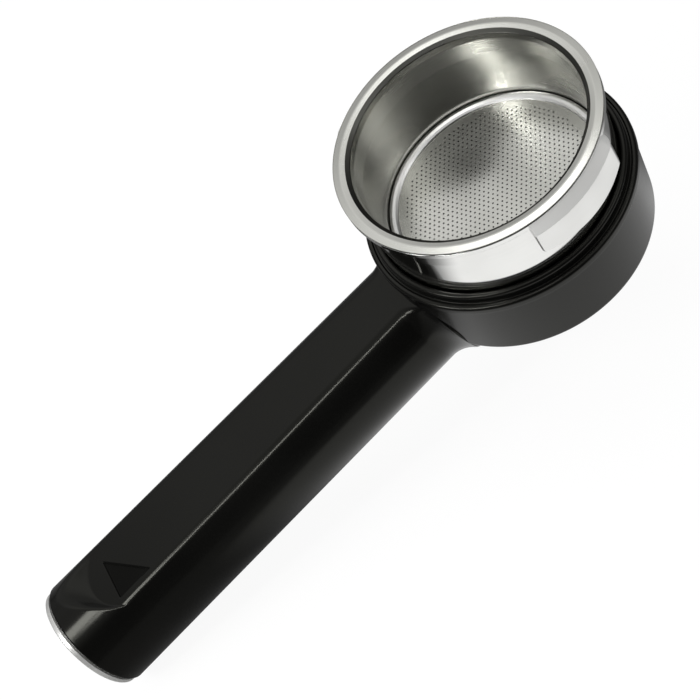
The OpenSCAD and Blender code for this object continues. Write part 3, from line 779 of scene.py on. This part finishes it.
collar_outline = rounded([
    (collar_in, collar_high[2], 0.7),
    (collar_in + LIP_WIDTH, collar_high[2], 0.7),
    (collar_in + LIP_WIDTH, groove_floor, 0.15),
    (collar_in + LIP_WIDTH + GROOVE_WIDTH, groove_floor, 0.15),
    (collar_in + LIP_WIDTH + GROOVE_WIDTH, shoulder_top, 0.25),
    (collar_high[0], shoulder_top, 0.8),
    (collar_high[0], collar_under, 0.3),
    (tongue_middle + TONGUE_WIDTH / 2, collar_under, 0.1),
    (tongue_middle + TONGUE_WIDTH / 2, collar_low[2], 0.2),
    (tongue_middle - TONGUE_WIDTH / 2, collar_low[2], 0.2),
    (tongue_middle - TONGUE_WIDTH / 2, collar_under, 0.1),
    (collar_in, collar_under, 0.2),
])
collar = make_mesh("collar_ring", grid_skin(turned(collar_outline, TURNED_COUNT)))
settle(collar, gloss_plastic, HOLDER_BODY, "collar")

# %% [markdown]
# The bowl and the handle are one moulding. The bowl is turned: a drafted wall, a rounded lower edge, an
# underside that falls to the hub, and the cavity for the holder. Its edges are softer than the chrome's,
# as a moulded part's are.

# %% Bowl section
BOWL_DRAFT = 1.1
BOWL_EDGE = -38.0
BOWL_ROUND = 1.2
BOWL_FALL = 2.8
BOWL_FLOOR = 2.4
HUB_RADIUS = 13.0
HUB_UNDER = -43.0
NIPPLE_PLAY = 0.15

cavity_radius = collar_in
cavity_floor = BOWL_EDGE + BOWL_FLOOR

bowl_outline = rounded([
    (cavity_radius, collar_under, 0.2),
    (bowl_radius, collar_under, 0.35),
    (bowl_radius - BOWL_DRAFT, BOWL_EDGE, BOWL_ROUND),
    (HUB_RADIUS, BOWL_EDGE - BOWL_FALL, 1.0),
    (HUB_RADIUS, HUB_UNDER, 0.6),
    (NIPPLE_RADIUS + NIPPLE_PLAY, HUB_UNDER, 0.3),
    (NIPPLE_RADIUS + NIPPLE_PLAY, cavity_floor, 0.2),
    (cavity_radius, cavity_floor, 0.6),
])
print("the bowl's section has", len(bowl_outline), "points")

# %% [markdown]
# The screws sit in pockets in the bowl's underside. A pocket isn't turned about the bowl's axis, so the
# outline can't hold it. Round pockets in a turned surface are cut most cleanly with a Boolean modifier,
# whose result is kept as the mesh.

# %% Bowl with its screw pockets
POCKET_RADIUS = 3.7
POCKET_TOP = -37.0
SCREW_HEAD_RADIUS = 3.1
SCREW_ANGLES = np.radians([60, 180, 300])

screw_low, screw_high = span("shell_screws")
screw_circle = -screw_low[0] - SCREW_HEAD_RADIUS


def at_screw(grid, angle):
    """The grid moved out to the screws' circle at an angle."""
    return grid + screw_circle * np.array([np.cos(angle), np.sin(angle), 0])


def pocket_skin(angle):
    """A plain round plug at a screw, from below the bowl up to the screw's seat."""
    plug = np.array([
        (0, HUB_UNDER), (POCKET_RADIUS, HUB_UNDER), (POCKET_RADIUS, POCKET_TOP), (0, POCKET_TOP),
    ])
    return grid_skin(at_screw(turned(plug, count=64), angle))


def cut(piece, cutter):
    """Takes the cutter's shape out of the piece for good, and removes the cutter."""
    saw = piece.modifiers.new("cut", "BOOLEAN")
    saw.object = cutter
    saw.solver = "EXACT"
    result = piece.evaluated_get(bpy.context.evaluated_depsgraph_get())
    whole = bpy.data.meshes.new_from_object(result)
    piece.modifiers.clear()
    piece.data = whole
    piece.data.shade_smooth()
    piece.data.set_sharp_from_angle(angle=SHARP_ANGLE)
    bpy.data.objects.remove(cutter)


bowl = make_mesh("shell_bowl", grid_skin(turned(bowl_outline, TURNED_COUNT)))
pockets = make_mesh("screw_pockets", join_skins(*[pocket_skin(angle) for angle in SCREW_ANGLES]))
cut(bowl, pockets)
settle(bowl, satin_plastic, HOLDER_BODY, "shell")

# %% [markdown]
# The handle is a tapered round bar. A cone would do for the bar itself, but at the neck it has to widen in
# an arc that is tangent to the bowl, and on the real moulding this fillet runs on under the handle. So
# the bar is written as a radius at each station and angle, and the fillet is added to that radius.

# %% Handle bar and neck
HANDLE_LENGTH = 137.7
HANDLE_ROOT_RADIUS = 12.3
HANDLE_END_RADIUS = 14.3
NECK_FILLET = 7.5
NECK_FADE = 4.0
NECK_TUCK = 1.3
NECK_TURNS_UNDER = np.radians(130)
NECK_SOFTENS = np.radians(35)


def to_handle(x, y, z):
    """Point (x along the handle, y across, z above its axis), turned by the droop, then lowered."""
    c, s = np.cos(HANDLE_DROOP), np.sin(HANDLE_DROOP)
    return np.stack([x * c + z * s, y, HANDLE_CROSSING - x * s + z * c], axis=-1)


def handle_radius(x):
    """Radius of the bar, growing evenly along it."""
    return HANDLE_ROOT_RADIUS + (HANDLE_END_RADIUS - HANDLE_ROOT_RADIUS) * x / HANDLE_LENGTH


def smooth_step(t):
    """0 below 0, 1 above 1, and 3 t^2 - 2 t^3 between."""
    t = np.clip(t, 0, 1)
    return t * t * (3 - 2 * t)


def neck_flare(x, angle):
    """Extra radius at the neck: a circle's arc tangent to the bar and to the bowl.

    Inside the bowl the arc fades out, a little sooner under the bowl's edge, and it ends on the
    handle's underside.
    """
    bowl_edge_radius = bowl_radius - BOWL_DRAFT
    centre_r = handle_radius(bowl_edge_radius) + NECK_FILLET
    centre_x = np.sqrt((bowl_edge_radius + NECK_FILLET) ** 2 - centre_r ** 2) / np.cos(HANDLE_DROOP)
    touch_x = centre_x * bowl_edge_radius / (bowl_edge_radius + NECK_FILLET)
    before = np.clip(centre_x - x, 0, centre_x - touch_x)
    flare = centre_r - np.sqrt(NECK_FILLET ** 2 - before ** 2) - handle_radius(x)
    tuck = NECK_TUCK * smooth_step((np.abs(angle) - np.pi / 2) / NECK_SOFTENS)
    inside_fade = smooth_step((x - touch_x - tuck) / NECK_FADE + 1)
    flare = np.clip(flare, 0, None) * (x < centre_x) * inside_fade
    return flare * (1 - smooth_step((np.abs(angle) - NECK_TURNS_UNDER) / NECK_SOFTENS))


print("the handle grows from", HANDLE_ROOT_RADIUS, "to", HANDLE_END_RADIUS, "mm in radius")

# %% [markdown]
# A flat thumb face lies on top of the bar. Cutting the flat off a cylinder would give a knife edge, but on
# the moulding that ridge is rounded and catches a long line of light. So both are written as heights
# above the handle's axis, and the lower one counts, blended where they are about equal. Near the
# handle's end the face rises into a rounded run-out, gentle on one side and steep on the other, as the
# photograph shows. A plain recess lies in the face.

# %% Thumb face
FACE_HEIGHT = 10.9
FACE_CENTRE = 117.2
FACE_END_RADIUS = 10.3
FACE_END_SLOPES = (0.5, 1.8)
FACE_END_SOFT = (5.0, 0.2)
FACE_END_TURNS = np.radians([-30, 40])
RECESS_CORNERS = np.array([(122.0, -4.2), (122.0, 7.2), (111.8, 7.2)])
RECESS_DEPTH = 0.4
RECESS_EDGE = 0.25
RECESS_FACES_UP = 0.5


def lower_of(a, b, blend):
    """The smaller of two heights, less (blend - |a - b|)^2 / (4 blend) where they differ by less."""
    near = np.clip(blend - np.abs(a - b), 0, None)
    return np.minimum(a, b) - near * near / (4 * blend)


def face_height(x, y):
    """The thumb face, and past its rounded end a rise: slope * d^2 / (d + soft) at the distance d.

    Slope and soft change with the direction from the face end's centre.
    """
    outside = np.hypot(x - FACE_CENTRE, y) - FACE_END_RADIUS
    outside = np.where(x > FACE_CENTRE, np.clip(outside, 0, None), 0.0)
    way = np.arctan2(y, np.abs(x - FACE_CENTRE) + 1e-6)
    steep = smooth_step((way - FACE_END_TURNS[0]) / (FACE_END_TURNS[1] - FACE_END_TURNS[0]))
    slope = FACE_END_SLOPES[0] + (FACE_END_SLOPES[1] - FACE_END_SLOPES[0]) * steep
    soft = FACE_END_SOFT[0] + (FACE_END_SOFT[1] - FACE_END_SOFT[0]) * steep
    return FACE_HEIGHT + slope * outside * outside / (outside + soft)


def recess_depth(x, y):
    """Depth of the triangular recess: full where the nearest side is further than the edge's width."""
    side = np.roll(RECESS_CORNERS, -1, axis=0) - RECESS_CORNERS
    inward = np.stack([-side[:, 1], side[:, 0]], axis=1) / np.linalg.norm(side, axis=1, keepdims=True)
    offset = np.stack([x, y], axis=-1)[..., None, :] - RECESS_CORNERS
    nearest = (offset * inward).sum(-1).min(-1)
    return RECESS_DEPTH * smooth_step(nearest / RECESS_EDGE)


print("the thumb face lies", FACE_HEIGHT, "mm above the handle's axis")

# %% [markdown]
# The handle's grid has stations along it and lines round it. An even grid would need far too many points,
# so the stations are close together where the surface turns quickly: at the hub, the neck and the
# thumb face's end. The lines follow the ridges, which keeps the long line of light clean.

# %% Handle grid
END_ROUND = 0.6
STATION_BREAKS = (9, 23.6, 32, 110, HANDLE_LENGTH - END_ROUND)
STATION_COUNTS = (48, 48, 64, 190)


def handle_stations():
    """Stations along the handle, evenly spaced between one break and the next."""
    stretches = zip(STATION_BREAKS[:-1], STATION_BREAKS[1:], STATION_COUNTS)
    return np.concatenate([np.linspace(*stretch, endpoint=False) for stretch in stretches])


def handle_columns():
    """Lines along the handle: -1 to 1 on the thumb face, 1 to 2 from a ridge down to the underside.

    They are closer together next to a ridge.
    """
    face = np.concatenate([np.linspace(0, 0.92, 44, endpoint=False),
                           np.linspace(0.92, 1, 9, endpoint=False)])
    side = 1 + np.concatenate([np.linspace(0, 0.04, 11, endpoint=False), np.linspace(0.04, 1, 60)])
    half = np.concatenate([face, side])
    return np.concatenate([-half[:0:-1], half[:-1]])


print("handle grid:", len(handle_stations()), "stations,", len(handle_columns()), "lines")

# %% [markdown]
# On that grid the round, the fillet, the thumb face and the recess come together in one surface. Where it
# runs inside the bowl it is held below the bowl's floor, so that it doesn't show in the cavity. The end has
# a small rounded edge and a flat face for the cap. The recess gets a duller finish than the face around it.

# %% Handle surface
RIDGE_BLEND = 0.8
END_BLEND = 0.4
BORE_RADIUS = 8.2
SKIN_OVERLAP = 0.1


def handle_body(x, angle):
    """Height = lower of radius * cos angle and the thumb face, less the recess; across = radius * sin.

    Inside the bowl the skin stays below the bowl's floor, and inside the hub above the hub's end.
    """
    radius = handle_radius(x) + neck_flare(x, angle)
    across, up = radius * np.sin(angle), radius * np.cos(angle)
    station = np.broadcast_to(x, across.shape)
    blend = RIDGE_BLEND + END_BLEND * smooth_step((station - FACE_CENTRE) / FACE_END_RADIUS)
    up = np.where(up > 0, lower_of(up, face_height(station, across), blend), up)
    up = up - recess_depth(station, across) * (up > 0)
    body = to_handle(station, across, up)
    from_axis = np.hypot(body[..., 0], body[..., 1])
    within_bowl = from_axis < (cavity_radius + bowl_radius - BOWL_DRAFT) / 2
    below_floor = np.minimum(body[..., 2], cavity_floor - BOWL_FLOOR / 2)
    body[..., 2] = np.where(within_bowl, below_floor, body[..., 2])
    within_hub = from_axis < HUB_RADIUS - SKIN_OVERLAP
    above_end = np.maximum(body[..., 2], HUB_UNDER + SKIN_OVERLAP)
    body[..., 2] = np.where(within_hub, above_end, body[..., 2])
    return body


def handle_end(angle):
    """The end's rounded edge, a quarter circle of END_ROUND, and the flat face in to the bore."""
    quarter = np.linspace(0, np.pi / 2, ARC_STEPS)[:, None]
    r = np.concatenate([HANDLE_END_RADIUS - END_ROUND * (1 - np.cos(quarter)), [[BORE_RADIUS]]])
    x = np.concatenate([HANDLE_LENGTH - END_ROUND * (1 - np.sin(quarter)), [[HANDLE_LENGTH]]])
    return to_handle(np.broadcast_to(x, (len(x), angle.shape[1])), r * np.sin(angle), r * np.cos(angle))


def handle_skin():
    """Body and end on one grid, with a pole in the hub and one in the bore."""
    x, line = handle_stations()[:, None], handle_columns()[None]
    ridge = np.arccos(FACE_HEIGHT / handle_radius(x))
    on_face, down_side = np.abs(line) * ridge, ridge + (np.abs(line) - 1) * (np.pi - ridge)
    angle = np.sign(line) * np.where(np.abs(line) <= 1, on_face, down_side)
    body, end = handle_body(x, angle), handle_end(angle[-1:])
    poles = [np.broadcast_to(rows.mean((0, 1)), (1, angle.shape[1], 3)) for rows in (body[:1], end[-1:])]
    return grid_skin(np.concatenate([poles[0], body, end, poles[1]]), wrap_rows=False)


def in_recess(middle, normal):
    """Faces that look up and lie in the recess, found at their station along the handle."""
    x, y, z = middle.T
    along = x * np.cos(HANDLE_DROOP) - (z - HANDLE_CROSSING) * np.sin(HANDLE_DROOP)
    return (recess_depth(along, y) > RECESS_DEPTH / 2) & (normal[:, 2] > RECESS_FACES_UP)


handle = make_mesh("shell_handle", handle_skin())
settle(handle, satin_plastic, HOLDER_BODY, "shell")
second_finish(handle, dull_plastic, in_recess)

# %% [markdown]
# A chrome cap closes the handle: a shadow gap, a narrow band and a shallow dome. The gap is a real groove,
# because the dark line between black plastic and chrome is what makes the cap look like a piece of its
# own. The cap is turned about the handle's axis, so its outline is worked out as (radius, station) and
# carried round in the handle's frame.

# %% End cap
CAP_RADIUS = HANDLE_END_RADIUS - 0.5
CAP_START = HANDLE_LENGTH + 0.02
CAP_BAND = 1.7
CAP_DOME = 1.4
CAP_FLAT = 0.55
CAP_EDGE = 0.3
CAP_GAP = 0.55
CAP_GAP_DEPTH = 0.9
SPIGOT_RADIUS = 8.05
SPIGOT_LENGTH = 8.0

cap_outline = rounded([
    (0, HANDLE_LENGTH - SPIGOT_LENGTH, 0),
    (SPIGOT_RADIUS, HANDLE_LENGTH - SPIGOT_LENGTH, 0.4),
    (SPIGOT_RADIUS, CAP_START, 0.1),
    (CAP_RADIUS - CAP_GAP_DEPTH, CAP_START, 0.1),
    (CAP_RADIUS - CAP_GAP_DEPTH, HANDLE_LENGTH + CAP_GAP, 0.1),
    (CAP_RADIUS, HANDLE_LENGTH + CAP_GAP, 0.12),
    (CAP_RADIUS, HANDLE_LENGTH + CAP_BAND, CAP_EDGE),
    (CAP_RADIUS * CAP_FLAT, HANDLE_LENGTH + CAP_BAND + CAP_DOME, 25.0),
    (0, HANDLE_LENGTH + CAP_BAND + CAP_DOME, 0),
])
up, across, along = np.moveaxis(turned(cap_outline, count=160), -1, 0)
cap = make_mesh("handle_end_cap", grid_skin(to_handle(along, across, up)))
settle(cap, chrome_cap, HOLDER_BODY, "end_cap")

# %% [markdown]
# The spout hangs under the hub, where this view doesn't reach. Its upper part is a ring nut on the outlet
# nipple, and below it a block with round ends divides the flow into two nozzles. The block could be a
# cube with a bevel. Here it is an outline carried round a path of two half circles and two straights,
# so its ends are true half rounds.

# %% Spout
NUT_PLAY = 0.05
NOZZLE_PITCH = 17.0
NOZZLE_RADIUS = 4.6
NOZZLE_BORE = 3.2
NOZZLE_INSET = 0.02
NOZZLE_HEIGHT = 3.8
SPOUT_WALL = 1.4
DIVIDE_HEIGHT = 2.6

spout_low, spout_high = span("spout")
divide_floor = spout_low[2] + NOZZLE_HEIGHT
divide_top = divide_floor + DIVIDE_HEIGHT


def carried(outline, count=128):
    """Outline (r, z) at r cos a, r sin a, with half the nozzles' pitch added on each side of the middle."""
    grid = turned(outline, count)
    side = np.where(np.arange(count) < count // 2, 1, -1)[:, None]
    grid[..., 1] += side * NOZZLE_PITCH / 2 * (np.abs(outline[:, 0]) > 0)
    return grid


nut_outline = rounded([
    (NIPPLE_RADIUS + NUT_PLAY, spout_high[2], 0.3),
    (spout_high[0], spout_high[2], 0.6),
    (spout_high[0], divide_top - SPOUT_WALL, 1.0),
    (NIPPLE_RADIUS + NUT_PLAY, divide_top - SPOUT_WALL, 0.2),
])
block_outline = rounded([
    (0, divide_top + SPOUT_WALL, 0),
    (NOZZLE_RADIUS, divide_top + SPOUT_WALL, 0.8),
    (NOZZLE_RADIUS, divide_floor - SPOUT_WALL, 0.9),
    (0, divide_floor - SPOUT_WALL, 0),
])
nozzle_outline = rounded([
    (NOZZLE_BORE, divide_top, 0.2),
    (NOZZLE_RADIUS - NOZZLE_INSET, divide_top, 0.2),
    (NOZZLE_RADIUS - NOZZLE_INSET, spout_low[2], 0.5),
    (NOZZLE_BORE, spout_low[2], 0.4),
])
nozzle_sides = [np.array([0, side * NOZZLE_PITCH / 2, 0]) for side in (-1, 1)]
spout_skins = [grid_skin(turned(nut_outline, count=160)), grid_skin(carried(block_outline))]
spout_skins += [grid_skin(turned(nozzle_outline, count=96) + place) for place in nozzle_sides]
spout = make_mesh("twin_spout", join_skins(*spout_skins))
settle(spout, satin_plastic, HOLDER_BODY, "spout")

# %% [markdown]
# The screws under the bowl are pan-head screws with a cross recess. A Boolean could cut the cross, but a
# depth is simpler: the head is a polar grid, and its end face is pushed in where the point lies in one
# of two crossed bars.

# %% Screws
HEAD_ROUND = 0.8
CROSS_LENGTH = 1.7
CROSS_WIDTH = 0.42
CROSS_DEPTH = 0.9
CROSS_EDGE = 0.2
SHANK_RADIUS = 1.6
SCREW_WASHER = 0.6


def screw_skin(angle):
    """Head and shank: turned outline, pushed in where the smaller of |x|, |y| lies in the cross's bars."""
    face_r = np.linspace(0, SCREW_HEAD_RADIUS - HEAD_ROUND, 28)
    quarter = np.linspace(0, np.pi / 2, ARC_STEPS)
    edge = np.stack([
        SCREW_HEAD_RADIUS - HEAD_ROUND * (1 - np.sin(quarter)),
        screw_low[2] + HEAD_ROUND * (1 - np.cos(quarter)),
    ], axis=1)
    head_top = POCKET_TOP - SCREW_WASHER
    rest = np.array([
        (SCREW_HEAD_RADIUS, head_top), (SHANK_RADIUS, head_top),
        (SHANK_RADIUS, screw_high[2]), (0, screw_high[2]),
    ])
    face = np.stack([face_r, np.full_like(face_r, screw_low[2])], axis=1)
    grid = turned(np.concatenate([face, edge[1:], rest]), count=96)
    across, along = np.sort(np.abs(grid[:, :len(face_r), :2]), axis=-1).transpose(2, 0, 1)
    inside = np.minimum(CROSS_WIDTH - across, CROSS_LENGTH - along)
    grid[:, :len(face_r), 2] += CROSS_DEPTH * smooth_step(inside / CROSS_EDGE)
    return grid_skin(at_screw(grid, angle))


screws = make_mesh("bowl_screws", join_skins(*[screw_skin(angle) for angle in SCREW_ANGLES]))
settle(screws, zinc_plate, HOLDER_BODY, "shell_screws")

# %% [markdown]
# The small inner pieces already have their true shape in the CAD frame. They keep it, and only get a
# finish in their material slot.

# %% Inner pieces
inner_finishes = {
    "basket_spring": spring_steel,
    "handle_bolt": zinc_plate,
    "lock_washer": zinc_plate,
    "bolt_washer": zinc_plate,
    "screw_washers": zinc_plate,
    "cap_ring": black_rubber,
    "spout_seal": red_rubber,
}
for node, material in inner_finishes.items():
    frame["nodes"][node].material_slots[0].material = material
print("inner pieces with a finish:", list(inner_finishes))

# %% [markdown]
# The photograph was taken from above and from the side, with the camera turned about its own axis. The
# camera's angles, distance and focal length come from fitting the rim, the floor, the collar and the
# handle to the picture. Its three axes are worked out from those angles and put into its matrix.

# %% Camera
CAMERA_AZIMUTH = np.radians(93.913)
CAMERA_ELEVATION = np.radians(50.463)
CAMERA_ROLL = np.radians(38.533)
CAMERA_OFFSET = np.array([-23.357, -44.590, 418.69])
FOCAL_PIXELS = 2051.03
IMAGE_PIXELS = 700
SENSOR_MM = 36.0


def camera_axes():
    """Right, up and back of the camera: a view from azimuth and elevation, turned by the roll."""
    az, el = CAMERA_AZIMUTH, CAMERA_ELEVATION
    back = np.array([np.cos(el) * np.cos(az), np.cos(el) * np.sin(az), np.sin(el)])
    right = np.array([-np.sin(az), np.cos(az), 0])
    up = np.cross(back, right)
    c, s = np.cos(CAMERA_ROLL), np.sin(CAMERA_ROLL)
    return np.stack([c * right - s * up, s * right + c * up, back])


axes = camera_axes()
camera_data = bpy.data.cameras.new("camera")
camera_data.sensor_width = SENSOR_MM
camera_data.lens = FOCAL_PIXELS / IMAGE_PIXELS * SENSOR_MM
camera_data.clip_start, camera_data.clip_end = 0.01, 100
camera = bpy.data.objects.new("camera", camera_data)
camera_place = Matrix(axes.T.tolist()).to_4x4()
camera_place.translation = axes.T @ CAMERA_OFFSET * MM
camera.matrix_world = camera_place
bpy.context.scene.collection.objects.link(camera)
bpy.context.scene.camera = camera
print("camera at", np.round(np.array(camera.location), 3), "lens", round(camera_data.lens, 1))

# %% [markdown]
# The object lies on white. The floor is a plain diffuse surface that takes the shadow, with a glow on top
# that only camera, mirror and glass rays see, so it is white without putting more light on the object. In
# mirrors the glow is a disc in front of the cup that falls off with the distance: the chrome shows a
# white floor there, and the handle, which faces away from it, stays black.

# %% Floor
FLOOR_SIZE = 30.0
FLOOR_GLOW = 0.86
FLOOR_WHITE = 1.07
FLOOR_TONE = (0.8, 0.8, 0.8, 1)
FLOOR_MIDDLE = (-0.015, 0.1)
FLOOR_LIT = (0.105, 0.135)
FLOOR_FAR = 0.1

floor_level = cad_box[0][2]


def seen_directly(tree):
    """1 for camera, mirror and glass rays, 0 for light that bounces; and 1 for camera rays alone."""
    path = add(tree, "ShaderNodeLightPath").outputs
    mirror = calculate(tree, "MAXIMUM", path["Is Glossy Ray"], path["Is Transmission Ray"])
    return calculate(tree, "MAXIMUM", path["Is Camera Ray"], mirror), path["Is Camera Ray"]


def floor_finish():
    """Diffuse floor mixed with a glow for direct rays: white to the camera, a soft disc to mirrors."""
    material = bpy.data.materials.new("white_floor")
    material.use_nodes = True
    tree = material.node_tree
    tree.nodes.clear()
    direct, camera_ray = seen_directly(tree)
    plain = add(tree, "ShaderNodeBsdfDiffuse", Color=FLOOR_TONE)
    place = add(tree, "ShaderNodeTexCoord").outputs["Object"]
    distance = vector_node(tree, "DISTANCE", i0=place, i1=(*FLOOR_MIDDLE, floor_level))["Value"]
    lit = soft_step(tree, distance, *FLOOR_LIT, FLOOR_WHITE, FLOOR_FAR)
    white = calculate(tree, "MULTIPLY", camera_ray, FLOOR_WHITE)
    glow = add(tree, "ShaderNodeEmission", Strength=calculate(tree, "MAXIMUM", lit, white))
    mixed = add(tree, "ShaderNodeMixShader", i0=calculate(tree, "MULTIPLY", direct, FLOOR_GLOW),
                i1=plain.outputs["BSDF"], i2=glow.outputs["Emission"])
    add(tree, "ShaderNodeOutputMaterial", Surface=mixed.outputs["Shader"])
    return material


side = FLOOR_SIZE / 2
floor_corners = [(-side, -side), (side, -side), (side, side), (-side, side)]
floor_mesh = bpy.data.meshes.new("floor")
floor_mesh.from_pydata([(x, y, floor_level) for x, y in floor_corners], [], [(0, 1, 2, 3)])
floor_mesh.materials.append(floor_finish())
floor = bpy.data.objects.new("floor", floor_mesh)
bpy.context.scene.collection.objects.link(floor)
print("floor at", round(floor_level / MM, 2), "mm")

# %% [markdown]
# The light is a plain studio with a few soft boxes. The overhead and the back box light the basket, and
# the left box lifts the bowl's edge opposite the handle. Two small boxes past the handle draw the streak
# at the thumb face's end and the long line of light on the ridge. A lamp's power is given as a radiance,
# so a larger box gives more light but no brighter reflection.

# %% Lamps
AIM = np.array([0.02, 0, -0.03])


def soft_box(name, position, size, radiance):
    """Area lamp that faces AIM, its width level with the X axis; its power is radiance * pi * area."""
    data = bpy.data.lights.new(name, "AREA")
    data.shape = "RECTANGLE"
    data.size, data.size_y = size
    data.energy = radiance * np.pi * size[0] * size[1]
    lamp = bpy.data.objects.new(name, data)
    back = np.array(position) - AIM
    back = back / np.linalg.norm(back)
    right = np.cross((0, 1, 0), back)
    right = right / np.linalg.norm(right)
    turn = Matrix(np.stack([right, np.cross(back, right), back], axis=1).tolist()).to_4x4()
    turn.translation = position
    lamp.matrix_world = turn
    lamp.visible_camera = False
    bpy.context.scene.collection.objects.link(lamp)


soft_box("overhead_box", (0.0, 0.02, 0.9), (0.36, 0.3), 2.5)
soft_box("handle_box", (0.289, 0.044, 0.139), (0.08, 0.06), 11.0)
soft_box("ridge_box", (0.285, 0.136, 0.296), (0.19, 0.035), 17.0)
soft_box("back_box", (-0.05, -0.28, 0.85), (0.5, 0.2), 2.6)
soft_box("left_box", (-0.45, 0.15, 0.48), (0.3, 0.3), 0.9)
print("lamps:", [light.name for light in bpy.data.lights])

# %% [markdown]
# Bright metal shows its surroundings, so the room matters as much as the lamps. An image of a studio could
# be wrapped round the scene, but a few nodes do. The world is dark all round and grows lighter overhead,
# with a soft glow behind the object and a shade in front, because the camera's side of a studio is dark.
# To the camera it is white. Light that bounces between surfaces gets one even fill.

# %% Room
FILL = 0.5
ROOM_LEVEL = 0.55
ROOM_DARK = 0.04
ROOM_HEIGHTS = (0.42, 0.8)
GLOW_WAY = (0.05, -0.8, 0.6)
GLOW_REACH = (0.72, 0.96)
GLOW_LEVEL = 0.4
SHADE_WAY = (0.1, 0.72, 0.68)
SHADE_REACH = (0.8, 0.97)
SHADE_LEVEL = 0.4
WHITE = (1, 1, 1, 1)


def room(world):
    """Level = soft step of the height, plus the glow, less the shade.

    Glow and shade follow the dot product of the ray's way with theirs.
    """
    world.use_nodes = True
    tree = world.node_tree
    tree.nodes.clear()
    direct, camera_ray = seen_directly(tree)
    way = add(tree, "ShaderNodeTexCoord").outputs["Generated"]
    height = add(tree, "ShaderNodeSeparateXYZ", Vector=way).outputs["Z"]
    above = soft_step(tree, height, *ROOM_HEIGHTS, ROOM_DARK, ROOM_LEVEL)
    near_glow = vector_node(tree, "DOT_PRODUCT", i0=way, i1=GLOW_WAY)["Value"]
    glow = soft_step(tree, near_glow, *GLOW_REACH, 0.0, GLOW_LEVEL)
    near_shade = vector_node(tree, "DOT_PRODUCT", i0=way, i1=SHADE_WAY)["Value"]
    shade = soft_step(tree, near_shade, *SHADE_REACH, 0.0, SHADE_LEVEL)
    shaded = calculate(tree, "SUBTRACT", calculate(tree, "ADD", above, glow), shade)
    level = calculate(tree, "MAXIMUM", shaded, camera_ray)
    seen = add(tree, "ShaderNodeBackground", Color=WHITE, Strength=level)
    fill = add(tree, "ShaderNodeBackground", Color=WHITE, Strength=FILL)
    mixed = add(tree, "ShaderNodeMixShader", i0=direct,
                i1=fill.outputs["Background"], i2=seen.outputs["Background"])
    add(tree, "ShaderNodeOutputWorld", Surface=mixed.outputs["Shader"])


studio = bpy.data.worlds.new("studio")
room(studio)
bpy.context.scene.world = studio
bpy.context.scene.view_settings.view_transform = "Standard"
print("world:", studio.name, "with", len(studio.node_tree.nodes), "nodes")
